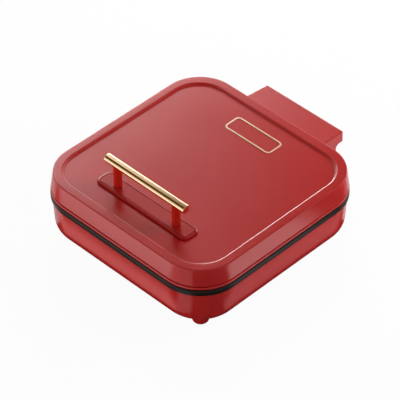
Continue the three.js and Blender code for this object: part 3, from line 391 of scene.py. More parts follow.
# key, material slot, material, group, the group's values,
# two colours, roughness from and to, bump depth, specular, metallic
finishRows = [
    ("red", "red_plastic", "redMoulded", mouldedSkin, (40.0, 3200.0, 0.07),
     (0.462, 0.0098, 0.0088), (0.488, 0.0115, 0.0102), (0.205, 0.25), 0.00004),
    # the posts' red: glossier than the lid's, and lighter and more orange, which is a painted warm sheen from
    # the brass bar's reflection
    ("redGlossy", "red_plastic", "redPolished", mouldedSkin, (60.0, 1400.0, 0.15),
     (0.48, 0.015, 0.0085), (0.54, 0.02, 0.0095), (0.08, 0.13), 0.00002),
    # the handle plate's red: the lid's red plastic made darker, which is painted shade from the bar above it
    ("redDeep", "red_plastic", "redDeep", mouldedSkin, (60.0, 3200.0, 0.07),
     (0.375, 0.0095, 0.0088), (0.405, 0.0115, 0.0105), (0.17, 0.23), 0.00003),
    ("black", "black_plastic", "blackMoulded", mouldedSkin, (60.0, 1700.0, 0.5),
     (0.009, 0.0065, 0.0045), (0.013, 0.0095, 0.007), (0.26, 0.34), 0.00006, 0.25),
    ("coating", "coated_aluminium", "nonStickCoating", mouldedSkin, (160.0, 2600.0, 0.75),
     (0.016, 0.016, 0.017), (0.026, 0.026, 0.027), (0.36, 0.5), 0.00012),
    ("rubber", "rubber", "footRubber", mouldedSkin, (200.0, 2200.0, 0.7),
     (0.014, 0.014, 0.014), (0.024, 0.023, 0.022), (0.75, 0.9), 0.0001),
    ("ceramic", "ceramic", "glazedCeramic", mouldedSkin, (120.0, 1800.0, 0.4),
     (0.76, 0.73, 0.66), (0.82, 0.8, 0.74), (0.22, 0.34), 0.00008),
    ("sleeve", "wire_insulation", "wireSleeve", mouldedSkin, (900.0, 2600.0, 0.4),
     (0.62, 0.6, 0.55), (0.74, 0.72, 0.67), (0.7, 0.85), 0.00015),
    ("brass", "brass", "polishedBrass", brushedLines, [(25.0, 1500.0, 1500.0)],
     (0.88, 0.62, 0.37), (0.92, 0.66, 0.41), (0.09, 0.15), 0.000004, 0.5, 1.0),
    ("brassLine", "brass", "goldLine", brushedLines, [(300.0, 300.0, 300.0)],
     (0.8, 0.56, 0.37), (0.86, 0.62, 0.42), (0.3, 0.42), 0.00001, 0.5, 0.25),
    ("steel", "steel", "plainSteel", brushedLines, [(900.0, 900.0, 60.0)],
     (0.5, 0.51, 0.52), (0.6, 0.61, 0.62), (0.26, 0.4), 0.00002, 0.5, 1.0),
    ("sheath", "steel", "elementSheath", brushedLines, [(700.0, 700.0, 700.0)],
     (0.2, 0.17, 0.15), (0.34, 0.31, 0.29), (0.4, 0.55), 0.00003, 0.5, 1.0),
    ("aluminium", "bare_aluminium", "rolledAluminium", brushedLines, [(40.0, 1400.0, 1400.0)],
     (0.72, 0.73, 0.74), (0.8, 0.81, 0.82), (0.3, 0.42), 0.00002, 0.5, 1.0),
]
finishes = {key: (addFinish(*row), slot) for key, slot, *row in finishRows}


# Outlines, lofts and cuts

def roundedPolygon(corners, radius, steps):
    corners = [Vector(corner) for corner in corners]
    points = []
    for i, corner in enumerate(corners):
        incoming = (corner - corners[i - 1]).normalized()
        outgoing = (corners[(i + 1) % len(corners)] - corner).normalized()
        start = math.atan2(-incoming.x, incoming.y)
        turn = math.atan2(incoming.cross(outgoing), incoming.dot(outgoing))
        centre = corner + (outgoing - incoming).normalized() * (radius / math.cos(turn / 2))
        for step in range(steps + 1):
            angle = start + turn * step / steps
            points.append(centre + Vector((math.cos(angle), math.sin(angle))) * radius)
    return points


def flatLoop(loop, z):
    return [(p[0], p[1], z) for p in loop]


def roundedLoop(halfX, halfY, radius, reach, y, z, steps=cornerSteps):
    # a rounded rectangle round x nought and y, grown by reach on all sides
    x, half = halfX + reach, halfY + reach
    corners = [(x, y - half), (x, y + half), (-x, y + half), (-x, y - half)]
    return flatLoop(roundedPolygon(corners, radius + reach, steps), z)


def housingLoop(reach, z=0.0):
    return roundedLoop(halfWidth, halfDepth, cornerRadius, reach, centreY, z)


def housingLoops(pairs):
    return [housingLoop(reach, z) for reach, z in pairs]


def arc(steps, turn=quarterTurn):
    # pairs of sine and cosine from nought to a turn
    return [(math.sin(turn * s / steps), math.cos(turn * s / steps)) for s in range(steps + 1)]


def lowRound(radius, reach, bottom, steps):
    # pairs of reach and height round a lower edge, from its underside out to its side
    return [(reach - radius * (1 - a), bottom + radius * (1 - b)) for a, b in arc(steps)]


def highRound(radius, reach, top, steps):
    # pairs of reach and height round an upper edge, from its side in to its top
    return [(reach - radius * (1 - b), top - radius * (1 - a)) for a, b in arc(steps)]


def newPiece(name, work):
    mesh = bpy.data.meshes.new(name)
    work.to_mesh(mesh)
    work.free()
    return addObject(name, mesh)


def loft(loops, name="tool", closed=False, place=Matrix.Identity(4)):
    # joins loops with equally many points, listed so that the faces look outwards
    work = bmesh.new()
    rings = [[work.verts.new(p) for p in loop] for loop in loops]
    pairs = list(zip(rings, rings[1:])) + ([(rings[-1], rings[0])] if closed else [])
    for lower, upper in pairs:
        for i in range(len(lower)):
            work.faces.new((lower[i - 1], lower[i], upper[i], upper[i - 1]))
    if not closed:
        work.faces.new(list(reversed(rings[0])))
        work.faces.new(rings[-1])
    work.transform(place)
    return newPiece(name, work)


def prism(loop, low, high):
    return loft([flatLoop(loop, low), flatLoop(loop, high)])


def block(left, right, front, rear, low, high):
    return prism([(right, front), (right, rear), (left, rear), (left, front)], low, high)


axisTurns = {
    "Z": Matrix.Identity(4),
    "X": Matrix.Rotation(quarterTurn, 4, "Y"),
    "Y": Matrix.Rotation(-quarterTurn, 4, "X"),
}


def turned(profile, place, axis="Z", sides=48, name="tool", hollow=False):
    # turns a profile of (radius, height) pairs, from low to high; a hollow one is a closed ring
    angles = [2 * math.pi * i / sides for i in range(sides)]
    loops = [[(r * math.cos(a), r * math.sin(a), height) for a in angles] for r, height in profile]
    return loft(loops, name, hollow, Matrix.Translation(place) @ axisTurns[axis])


def rod(radius, low, high, place, axis="Z", sides=48):
    # low and high are places along the rod's own axis
    return turned([(radius, low), (radius, high)], place, axis, sides)


def rods(radius, low, high, places, sides=24):
    return [rod(radius, low, high, (x, y, 0), "Z", sides) for x, y in places]


def settle(piece):
    # turns the result of the modifiers into the piece's own plain mesh
    graph = bpy.context.evaluated_depsgraph_get()
    result = bpy.data.meshes.new_from_object(piece.evaluated_get(graph), depsgraph=graph)
    old = piece.data
    piece.modifiers.clear()
    piece.data = result
    bpy.data.meshes.remove(old)
    result.name = piece.name
    return piece


def addModifier(piece, kind, **settings):
    step = piece.modifiers.new(kind.lower(), kind)
    for name, value in settings.items():
        setattr(step, name, value)
    return step


def carve(piece, join=(), cut=(), within=()):
    groups = []
    for operation, tools in (("UNION", join), ("DIFFERENCE", cut), ("INTERSECT", within)):
        if not tools:
            continue
        group = bpy.data.collections.new(operation.lower())
        scene.collection.children.link(group)
        for tool in tools:
            scene.collection.objects.unlink(tool)
            group.objects.link(tool)
        addModifier(
            piece, "BOOLEAN", solver="EXACT",
            operation=operation, operand_type="COLLECTION", collection=group,
        )
        groups.append(group)
    settle(piece)
    for group in groups:
        for tool in list(group.objects):
            bpy.data.meshes.remove(tool.data)
        bpy.data.collections.remove(group)
    return piece


def finishPiece(piece, finish, body, *nodes, sharp=35):
    # sharp is the angle in degrees from which an edge stays sharp
    mesh = piece.data
    mesh.materials.clear()
    material, slot = finishes[finish]
    mesh.materials.append(material)
    for face in mesh.polygons:
        face.use_smooth = True
        face.material_index = 0
    mesh.set_sharp_from_angle(angle=math.radians(sharp))
    addModifier(piece, "WEIGHTED_NORMAL", keep_sharp=True, weight=100)
    settle(piece)
    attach(piece, body)
    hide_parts(*nodes)
    print("piece:", piece.name, len(piece.data.polygons), "faces")


# Lid cover with its recess and hinge block

lid = inMillimetres(
    flare=2.8, skirtDrop=19.5, shoulder=1.3, hem=0.9, rim=8.4, rearRim=9.3, recessDepth=2.5,
    recessEdge=1.9,  # radius of the edge that falls from the rim
    recessFoot=1.0, recessRadius=34.6, postRadius=3.4, postInset=7.2, postHoleDepth=10.6,
)
recessRounds = lid.recessEdge + lid.recessFoot
recessTurn = math.acos(1 - lid.recessDepth / recessRounds)
recessSlope = recessRounds * math.sin(recessTurn)
skirtBottom = rimTop - lid.skirtDrop
panelTop = rimTop - lid.recessDepth
panelUnderside = panelTop - wall
lidFloor = coverLow.z


def flareAt(z):
    return lid.flare * (rimTop - z) / lid.skirtDrop


def recessLoop(inset, z):
    halfX = halfWidth - lid.rim
    halfY = halfDepth - (lid.rim + lid.rearRim) / 2
    middle = centreY + (lid.rim - lid.rearRim) / 2
    return roundedLoop(halfX, halfY, lid.recessRadius, -inset, middle, z)


def fourPlaces(x, y):
    return [(x, centreY + y), (-x, centreY + y), (-x, centreY - y), (x, centreY - y)]


def cornerPlaces(inset):
    out = (cornerRadius - inset) / math.sqrt(2) - cornerRadius
    return fourPlaces(halfWidth + out, halfDepth + out)


hingeBlock = inMillimetres(
    halfWidth=54.5, taper=1.2, reach=38,
    drop=8.8,  # of its top below the rim, at the skirt
    fall=3.3,  # of its top towards the rear
    cornerRadius=2.4, rearEdge=1.6, sideEdge=1.3,
    cove=2.6,  # of the soft hollow where it grows out of the skirt
    seamRise=2.2,  # of the fine seam over the block's lower edge
    seamDepth=0.5, seamOut=1, seamInner=0.2, seamOuter=0.3,
)
blockSteps = 6
coveStart = 0.45  # share of the skirt's flare where the cove starts
skirtRear = centreY + halfDepth
blockRear = skirtRear + hingeBlock.reach


def blockLoop(y, sideInset, topInset, floor):
    # one cross-section of the block, from its top over the right side round to the left
    along = (y - skirtRear) / hingeBlock.reach
    half = hingeBlock.halfWidth - hingeBlock.taper * along - sideInset
    top = rimTop - hingeBlock.drop - hingeBlock.fall * along - topInset
    edge = hingeBlock.sideEdge
    right = [Vector((half - edge * (1 - a), y, top - edge * (1 - b))) for a, b in arc(blockSteps)]
    left = [Vector((-p.x, p.y, p.z)) for p in reversed(right)]
    return right + [Vector((half, y, floor)), Vector((-half, y, floor))] + left


def buildHingeBlock(inset, floor, front):
    # the outer form has no inset and grows out of the skirt with a cove
    corner, edge = hingeBlock.cornerRadius, hingeBlock.rearEdge
    cove = 0 if inset else hingeBlock.cove
    loops = [blockLoop(front, inset - cove, inset - cove, floor)]
    if cove:
        start = skirtRear + lid.flare * coveStart
        for a, b in arc(blockSteps):
            loops.append(blockLoop(start + cove * (1 - b), -cove * (1 - a), -cove * (1 - a), floor))
    for a, b in arc(blockSteps + 2):
        y = blockRear - inset - corner * (1 - a)
        beyond = max(0.0, y - (blockRear - inset - edge)) / edge
        drop = edge * (1 - math.sqrt(max(0.0, 1 - beyond * beyond)))
        loops.append(blockLoop(y, inset + corner * (1 - b), inset + drop, floor))
    return loft(loops)


def blockOutline(inset, z=0.0):
    # the block seen from above, from inside the lid to its rear face
    front, rear = skirtRear - cornerRadius, blockRear - inset
    rearHalf = hingeBlock.halfWidth - hingeBlock.taper - inset
    frontHalf = rearHalf + hingeBlock.taper / hingeBlock.reach * (blockRear - front)
    corners = [(frontHalf, front), (rearHalf, rear), (-rearHalf, rear), (-frontHalf, front)]
    return flatLoop(roundedPolygon(corners, hingeBlock.cornerRadius, curveSteps), z)


def seamCutter():
    # a fine groove whose lower side slopes outwards and catches the light
    depth, out = hingeBlock.seamDepth, hingeBlock.seamOut
    middle = lidFloor + hingeBlock.seamRise
    return loft([
        blockOutline(depth, middle), blockOutline(-out, middle - depth - out),
        blockOutline(-out, middle + hingeBlock.seamOuter), blockOutline(depth, middle + hingeBlock.seamInner),
    ], closed=True)


def buildLidCover():
    flare, shoulder, hem = lid.flare, lid.shoulder, lid.hem
    edge, foot = lid.recessEdge, lid.recessFoot
    loops = [
        recessLoop(recessSlope - wall, panelUnderside),
        recessLoop(-wall, panelTop),
        recessLoop(-wall, rimTop - wall),
        housingLoop(-wall, rimTop - wall),
        housingLoop(flare - wall, skirtBottom),
    ]
    loops += [housingLoop(flareAt(z) + reach, z) for reach, z in lowRound(hem, 0, skirtBottom, 4)]
    loops += housingLoops(highRound(shoulder, flareAt(rimTop - shoulder), rimTop, curveSteps))
    for a, b in arc(curveSteps, recessTurn):
        loops.append(recessLoop(edge * a, rimTop - edge * (1 - b)))
    for a, b in reversed(arc(curveSteps // 2, recessTurn)[:-1]):
        loops.append(recessLoop(recessSlope - foot * a, panelTop + foot * (1 - b)))
    cover = loft(loops, "lidCover")
    body = buildHingeBlock(0, lidFloor, skirtRear - wall)
    below = lidFloor - cutPast
    hollow = buildHingeBlock(wall, below, skirtRear + flare)
    beadRoom = prism(housingLoop(lidRing.beadReach + gap), below, skirtBottom)
    insidePairs = [(flare - wall, below), (flare - wall, skirtBottom), (-wall, rimTop - wall)]
    inside = loft(housingLoops(insidePairs))
    carve(body, cut=[hollow, beadRoom, inside, seamCutter()])
    places = cornerPlaces(lid.postInset)
    posts = rods(lid.postRadius, lidRingTop + gap, rimTop - wall / 2, places)
    holes = rods(screwHole, lidRingTop, lidRingTop + lid.postHoleDepth, places)
    carve(cover, join=[body, *posts])
    carve(cover, cut=holes)
    finishPiece(cover, "red", "lid", "lid_cover")


# Lid ring: the red lip under the skirt, the ledge for the plate and the hinge arm

lidRing = inMillimetres(
    beadReach=3.25, beadHeight=3.4, beadBulge=1.1, ledgeWidth=6.3, ledgeThickness=2.8,
    screwHeadRoom=3.3, screwHeadDepth=2.1,
)
beadSteps = 12
plates = inMillimetres(
    cornerRadius=30, flange=2.5, edge=0.5, wall=2.2, crossWeb=5, diagonalWeb=4,
    pocketClearance=1.3, pocketCorner=7,
    lip=0.9,  # round of the edge where a pocket starts
    lowerDepth=12,
    shieldRoom=6,  # between the upper plate's pockets and its heat shield
    shieldThickness=0.6, bossRadius=5, bossBite=5, sideBoss=29, screwBite=1.8, smallHole=1.4,
)
plateHalfX = upperPlateHigh.x
plateHalfY = (upperPlateHigh.y - upperPlateLow.y) / 2
upperLedge = upperFace + plates.flange + seatGap
lowerLedge = lowerFace - plates.flange - seatGap
lowerLedgeBottom = lowerLedge - lidRing.ledgeThickness

hinge = inMillimetres(
    radius=3.9, lidNear=26, lidFar=35, baseNear=35.4, baseFar=44.4, boreRadius=1.84,
    pinRadius=1.75, pinHead=2.8, pinHeadHeight=1.2, pinEdge=0.4,
)


def plateLoop(reach, z=0.0):
    return roundedLoop(plateHalfX, plateHalfY, plates.cornerRadius, reach, centreY, z)


def sidePlaces():
    inset = lidRing.ledgeWidth / 2
    x, y = plateHalfX - inset, plateHalfY - inset
    return [(x, centreY), (0, centreY + y), (-x, centreY), (0, centreY - y)]


def pinBore(left, right):
    return rod(hinge.boreRadius, left, right, hingeLine, "X", 24)


def knucklePair(near, far, *web):
    # a barrel on each side, with a web that joins it to what carries it
    pair = []
    for left, right in ((near, far), (-far, -near)):
        barrel = rod(hinge.radius, left, right, hingeLine, "X")
        pair.append(carve(barrel, join=[block(left, right, *web)]))
    return pair


def buildLidRing():
    below, beyond = lidFloor - cutPast, lidRingTop + cutPast
    bulge, rise = lidRing.beadBulge, lidRing.beadHeight / 2
    middle = lidFloor + rise
    loops = []
    for step in range(beadSteps + 1):
        angle = -quarterTurn + math.pi * step / beadSteps
        reach = lidRing.beadReach - bulge + bulge * math.cos(angle)
        loops.append(housingLoop(reach, middle + rise * math.sin(angle)))
    bead = loft(loops, "lidRing")
    upstand = prism(housingLoop(flareAt(lidRingTop) - wall - gap), lidFloor, lidRingTop)
    armInset = wall + gap
    rearHalf = hingeBlock.halfWidth - hingeBlock.taper - armInset
    arm = prism(blockOutline(armInset), lidFloor, skirtBottom - gap)
    web = (hingeY - hinge.radius, blockRear - armInset, hingeZ, lidFloor + rise)
    knuckles = knucklePair(hinge.lidNear, hinge.lidFar, *web)
    carve(bead, join=[upstand, arm, *knuckles])
    places = cornerPlaces(lid.postInset)
    cuts = [
        prism(plateLoop(gap), below, upperLedge),
        prism(plateLoop(-lidRing.ledgeWidth), below, beyond),
        pinBore(-rearHalf, rearHalf),
    ]
    cuts += rods(screwHole, below, beyond, places)
    cuts += rods(lidRing.screwHeadRoom, below, lidFloor + lidRing.screwHeadDepth, places)
    cuts += rods(plates.smallHole, lidFloor, beyond, sidePlaces(), 16)
    carve(bead, cut=cuts)
    finishPiece(bead, "red", "lid", "lid_ring")


# Base ring: the black band under the lip, with the ledge for the lower plate

ring = inMillimetres(
    height=7.5, topRadius=2.6, bottomRadius=1.6, shellTopReach=1.9, shellDrop=3.7, ribDepth=4.4, ribWall=2,
    postRadius=4, postLength=16, postTopDrop=1.4, postHoleDepth=10.3, screwSideInset=10.5, screwEndInset=55.5,
)
parting = ringHigh.z
ringBottom = parting - ring.height
shellTop = parting - ring.shellDrop
basePostBottom = lowerLedgeBottom - ring.postLength
baseScrewPlaces = fourPlaces(halfWidth - ring.screwSideInset, halfDepth - ring.screwEndInset)


def buildBaseRing():
    pairs = lowRound(ring.bottomRadius, ringReach, ringBottom, 6)
    pairs += highRound(ring.topRadius, ringReach, parting, 8)
    band = loft(housingLoops(pairs), "baseRing")
    above = parting + cutPast
    shellReach = ring.shellTopReach
    wallRoom = prism(housingLoop(shellReach + gap), ringBottom - cutPast, shellTop + gap)
    coreReach = shellReach - wall - gap
    ribBottom = shellTop - ring.ribDepth - gap
    core = prism(housingLoop(coreReach), ribBottom, parting - ring.topRadius)
    hollowLoop = housingLoop(coreReach - ring.ribWall)
    ribHollow = prism(hollowLoop, ribBottom - cutPast, lowerLedgeBottom)
    postTop = lowerLedge - ring.postTopDrop
    posts = rods(ring.postRadius, basePostBottom, postTop, baseScrewPlaces)
    holeTop = basePostBottom + ring.postHoleDepth
    cuts = rods(screwHole, basePostBottom - cutPast, holeTop, baseScrewPlaces)
    cuts.append(prism(plateLoop(gap), lowerLedge, above))
    cuts.append(prism(plateLoop(-lidRing.ledgeWidth), ribBottom - cutPast, above))
    low, high = lowerLedgeBottom - cutPast, lowerLedge + cutPast
    cuts += rods(plates.smallHole, low, high, sidePlaces(), 16)
    carve(band, cut=[wallRoom])
    carve(core, cut=[ribHollow])
    carve(band, join=[core])
    carve(band, join=posts)
    carve(band, cut=cuts)
    finishPiece(band, "black", "base", "base_ring")


# Base shell with feet, vents and hinge seat

shell = inMillimetres(
    reach=0.5, bottomRadius=18, underside=7.1, footInset=25.7, footRadius=8.4, footEdge=2.2,
    padRadius=6, padThickness=2.9, padEdge=0.5, padHollow=0.35,
    seatHalfWidth=52, seatReach=29, lipReach=35, lipHeight=4.4,
    seatDrop=0.2, seatKnee=12, seatFoot=29.1, seatEdge=0.9,
    windowReach=8, bossRadius=5.4, wellDepth=21, pegRadius=3, pegHeight=10, pegRoot=1,
)
ventSlots = inMillimetres(Pitch=8, Length=46, Width=3.2, Height=20, Offset=46)
ventCount = 4
gland = inMillimetres(x=66, z=33.1, bore=4.4, boreEdge=0.6, neck=5.6, flange=8, thickness=2)


def vectorNode(tree, x=0.0, y=0.0, z=0.0):
    return addNode(tree, "ShaderNodeCombineXYZ", x, y, z)


def startGrowth(name, whole, *others):
    # a geometry group that is given a whole number, other numbers and a material
    inputs = [("Geometry", "Geometry"), (whole, "Int")] + [(other, "Float") for other in others]
    return startGroup(name, "Geometry", inputs + [("Material", "Material")], [("Geometry", "Geometry")])


def giveGrowth(tree, given, result, made):
    real = addNode(tree, "GeometryNodeRealizeInstances", Geometry=made)
    feed(tree, result[0], addNode(tree, "GeometryNodeSetMaterial", Geometry=real, Material=given["Material"]))
    return tree


def onPoints(tree, points, instance):
    return addNode(tree, "GeometryNodeInstanceOnPoints", Points=points, Instance=instance)


def lineNode(tree, mode, **values):
    return addNode(tree, "GeometryNodeMeshLine", mode=mode, count_mode="TOTAL", **values)


def buildSlotTree():
    # long slots with round ends, in two banks beside each other
    names = ("Pitch", "Length", "Width", "Height", "Offset")
    tree, given, result = startGrowth("slotBanks", "Count", *names)
    width, offset = given["Width"], given["Offset"]
    left = vectorNode(tree, x=mathNode(tree, "MULTIPLY", offset, -1.0))
    banks = lineNode(tree, "END_POINTS", Count=2, Start_Location=left, Offset=vectorNode(tree, x=offset))
    slots = lineNode(tree, "OFFSET", Count=given["Count"], Offset=vectorNode(tree, y=given["Pitch"]))
    outline = addNode(tree, "GeometryNodeCurvePrimitiveQuadrilateral", Width=given["Length"], Height=width)
    end = mathNode(tree, "MULTIPLY", width, 0.48)
    rounded = addNode(tree, "GeometryNodeFilletCurve", mode="POLY", Count=8, Radius=end, Curve=outline)
    face = addNode(tree, "GeometryNodeFillCurve", mode="NGONS", Curve=rounded)
    drawn = addNode(
        tree, "GeometryNodeExtrudeMesh", mode="FACES",
        Individual=False, Mesh=face, Offset_Scale=given["Height"],
    )
    bottom = addNode(tree, "GeometryNodeFlipFaces", Mesh=face)
    body = addNode(tree, "GeometryNodeJoinGeometry", Geometry=[drawn, bottom])
    welded = addNode(tree, "GeometryNodeMergeByDistance", Geometry=body, Distance=0.01 * mm)
    return giveGrowth(tree, given, result, onPoints(tree, banks, onPoints(tree, slots, welded)))


def growPiece(name, tree, values, points=((0, 0, 0),)):
    # runs a tree on points and keeps the result as a plain mesh
    work = bmesh.new()
    for point in points:
        work.verts.new(point)
    piece = newPiece(name, work)
    step = addModifier(piece, "NODES", node_group=tree)
    for item in tree.interface.items_tree:
        if item.item_type == "SOCKET" and item.in_out == "INPUT" and item.name in values:
            step[item.identifier] = values[item.name]
    return settle(piece)


def shellBody(inset, top, name="tool"):
    radius = shell.bottomRadius - inset
    pairs = lowRound(radius, shell.reach - inset, shell.underside + inset, 14)
    pairs.append((ring.shellTopReach - inset, shellTop))
    if top > shellTop:
        pairs.append((ring.shellTopReach - inset, top))
    return loft(housingLoops(pairs), name)


def hingeSeat(inset, front):
    # a prism of the seat's side profile in Y and Z, listed anticlockwise as seen from the right
    foot, knee = shell.seatFoot + inset, shell.seatKnee
    rear, lip = skirtRear + shell.seatReach - inset, skirtRear + shell.lipReach - inset
    top = shellHigh.z - shell.seatDrop - inset
    profile = [
        (front, foot), (skirtRear, foot), (rear, foot + knee),
        (rear, top - shell.lipHeight), (lip, top), (front, top),
    ]
    half = shell.seatHalfWidth - inset
    return loft([[(x, y, z) for y, z in profile] for x in (-half, half)])


def buildSeatBody(front, rear):
    seatBody = hingeSeat(0, front)
    addModifier(seatBody, "BEVEL", width=shell.seatEdge, segments=4, limit_method="ANGLE")
    settle(seatBody)
    half = hinge.baseFar + gap
    above = parting + cutPast
    lipCut = block(-half, half, rear, rear + farPast, shell.seatFoot, above)
    ringRoom = prism(housingLoop(ringReach + gap), ringBottom - gap, above)
    return carve(seatBody, cut=[lipCut, ringRoom])


def shellPegs():
    low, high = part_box("terminal_block")
    x, y = (low.x + high.x) / 2, (low.y + high.y) / 2
    spread = (high.x - low.x) / 3
    bottom, top = shell.underside + shell.pegRoot, shell.underside + wall + shell.pegHeight
    return rods(shell.pegRadius, bottom, top, [(x - spread, y), (x + spread, y)])


def buildBaseShell():
    underside = shell.underside
    front, rear = skirtRear - cornerRadius, skirtRear + shell.seatReach
    over = shellTop + runOn
    tray = shellBody(0, shellTop, "baseShell")
    seatBody = buildSeatBody(front, rear)
    hollowSeat = hingeSeat(wall, front)
    carve(hollowSeat, cut=[shellBody(0, shellTop)])
    profile = lowRound(shell.footEdge, shell.footRadius, shellLow.z, 6)
    profile.append((shell.footRadius, underside + wall + runOn))
    footPlaces = cornerPlaces(cornerRadius - shell.footInset)
    feet = [turned(profile, (x, y, 0)) for x, y in footPlaces]
    socketTop = shell.padThickness + seatGap
    sockets = rods(shell.padRadius + gap, -cutPast, socketTop, footPlaces, 48)
    windowHalf = hinge.baseFar - wall
    window = block(
        -windowHalf, windowHalf, skirtRear - wall - runOn, skirtRear + shell.windowReach,
        shell.seatFoot + wall + shell.seatKnee / 2, ringBottom - wall - gap,
    )
    carve(tray, join=[*feet, seatBody])
    carve(tray, cut=[shellBody(wall, over), hollowSeat, window])
    web = (rear - wall / 2, hingeY, hingeZ - hinge.radius, hingeZ + hinge.radius)
    joins = knucklePair(hinge.baseNear, hinge.baseFar, *web)
    wellTop = underside + shell.wellDepth
    bosses = rods(shell.bossRadius, 0, basePostBottom - gap, baseScrewPlaces, 32)
    cuts = rods(lidRing.screwHeadRoom, -cutPast, wellTop, baseScrewPlaces, 32)
    cuts += rods(screwHole, underside, basePostBottom + cutPast, baseScrewPlaces)
    joins.append(carve(bosses[0], join=bosses[1:], within=[shellBody(0, over)]))
    carve(tray, join=joins + shellPegs())
    near, far = hinge.lidNear, hinge.baseFar + runOn
    cuts += [pinBore(-far, -near), pinBore(near, far)]
    cuts.append(rod(gland.neck + gap, skirtRear - farPast, skirtRear + farPast, (gland.x, 0, gland.z), "Y"))
    values = {**vars(ventSlots), "Count": ventCount, "Material": finishes["red"][0]}
    slots = growPiece("slots", buildSlotTree(), values)
    first = (0, centreY - (ventCount - 1) / 2 * ventSlots.Pitch, -cutPast)
    slots.data.transform(Matrix.Translation(first))
    carve(tray, cut=[*cuts, *sockets, slots])
    finishPiece(tray, "red", "base", "base_shell")


# Cooking plates

def pocketField(half):
    return half - lidRing.ledgeWidth - plates.pocketClearance - plates.wall


def pocketPlaces():
    # each pocket's right-angled corner with the ways its legs run, their length and the inscribed radius
    fieldX, fieldY = pocketField(plateHalfX), pocketField(plateHalfY)
    half = plates.crossWeb / 2
    leg = min(fieldX, fieldY) - half - plates.diagonalWeb / math.sqrt(2)
    places = []
    for sx in (1, -1):
        for sy in (1, -1):
            places.append((sx * fieldX, sy * half, -sx, sy))
            places.append((sx * half, sy * fieldY, sx, -sy))
    return places, leg, leg * (1 - 1 / math.sqrt(2))


def pocketLoop(place, leg, inradius, reach, z):
    x, y, legX, legY = place
    corners = [(x, y), (x + legX * leg, y), (x, y + legY * leg)]
    if legX * legY < 0:
        corners.reverse()
    middle = Vector((x + legX * inradius, y + legY * inradius))
    scale = 1 + reach / inradius
    points = roundedPolygon(corners, plates.pocketCorner, 10)
    return [Vector((*((p - middle) * scale + middle), z)) for p in points]


pocketKnee = (0.2, 0.66)  # shares of the inscribed radius and of the depth where the wall bends
pocketFoot = 0.5  # share of the inscribed radius at the wall's foot


def pocketBends(depth, inradius):
    # inset and depth where the wall bends, and at its foot
    return [(pocketKnee[0] * inradius, pocketKnee[1] * depth), (pocketFoot * inradius, depth)]


def pocketShape(depth, inradius, steps=8):
    # inset and depth from the face inwards: a rounded lip, the sloping wall, a rounded foot
    lip = plates.lip
    shape = [(-lip * (1 - a), lip * (1 - b)) for a, b in arc(5)]
    start = (lip * 0.2, lip * 1.6)
    knee, foot = pocketBends(depth, inradius)
    for step in range(1, steps + 1):
        t = step / steps
        u = 1 - t
        shape.append(tuple(u * u * s + 2 * u * t * m + t * t * e for s, m, e in zip(start, knee, foot)))
    return shape


def buildCookingPlate(name, face, side, depth, bosses, body, node):
    # side is 1 where the pockets bulge upwards from the face
    plateWall, flange, edge = plates.wall, plates.flange, plates.edge
    places, leg, inradius = pocketPlaces()
    shift = Vector((0, centreY, 0))

    def at(height):
        return face + side * height

    def span(first, second):
        return sorted((at(first), at(second)))

    def pocketForm(place, shape):
        loops = [pocketLoop(place, leg, inradius, reach, at(height)) for reach, height in shape]
        moved = [[p + shift for p in loop] for loop in loops]
        return loft(moved if side > 0 else list(reversed(moved)))

    low, high = span(0, flange)
    part = edge * 0.3
    sections = [(-edge, low), (-part, low + part), (0, low + edge)]
    sections += [(0, high - edge), (-part, high - part), (-edge, high)]
    plate = loft([plateLoop(*section) for section in sections], name)
    outer = [(0, -plateWall + flange / 2)] + pocketBends(depth, inradius)
    outer = [(plateWall - inset, plateWall + down) for inset, down in outer]
    inner = [(-plates.lip, -cutPast)] + pocketShape(depth, inradius)
    inner = [(-inset, down) for inset, down in inner]
    joins = [pocketForm(place, outer) for place in places]
    cuts = [pocketForm(place, inner) for place in places]
    for y, height in bosses:
        joins.append(rod(plates.bossRadius, *span(flange / 2, height), (0, centreY + y, 0)))
    bossEnds = span(bosses[0][1] - plates.bossBite, bosses[0][1] + cutPast)
    cuts += rods(screwHole, *bossEnds, [(0, centreY)])
    screwEnds = span(flange - plates.screwBite - seatGap, flange + cutPast)
    cuts += rods(plates.smallHole, *screwEnds, sidePlaces(), 16)
    carve(plate, join=joins)
    carve(plate, cut=cuts)
    finishPiece(plate, "coating", body, node, sharp=40)


def buildPlates():
    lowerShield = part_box("lower_heat_shield")[0].z + plates.shieldThickness
    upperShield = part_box("upper_heat_shield")[1].z - plates.shieldThickness
    lowerBoss, upperBoss = lowerFace - lowerShield, upperShield - upperFace
    upperDepth = upperBoss - plates.shieldRoom - plates.wall
    bosses = [(0, lowerBoss - seatGap), (-plates.sideBoss, lowerBoss)]
    buildCookingPlate("lowerPlate", lowerFace, -1, plates.lowerDepth, bosses, "base", "lower_plate")
    bosses = [(0, upperBoss - seatGap)]
    buildCookingPlate("upperPlate", upperFace, 1, upperDepth, bosses, "lid", "upper_plate")


# Handle and badge outline

handle = inMillimetres(
    plateHalfX=62.4, plateHalfY=10.25, plateCorner=5.4,
    grooveInset=2.1, grooveWidth=1.0, grooveDepth=0.7,  # of the fine groove round the plate's top
    footInset=0.8, footRise=0.45, footSlope=0.1,  # of the shadow line round the plate's foot
    postRadius=4.5, postSpacing=40.2, postEdge=0.3, saddleGap=0.06,
    barRadius=4.8, barHalf=54.5, barChamfer=0.5,
)
# the plate's bevel, from its side to its top: inset and depth below the top, in millimetres
handleBevel = [(0, 1.3), (0.12, 1.05), (1.1, 0.2), (1.25, 0.05), (1.5, 0)]
handleY = (handlePlateLow.y + handlePlateHigh.y) / 2
barZ = (barLow.z + barHigh.z) / 2


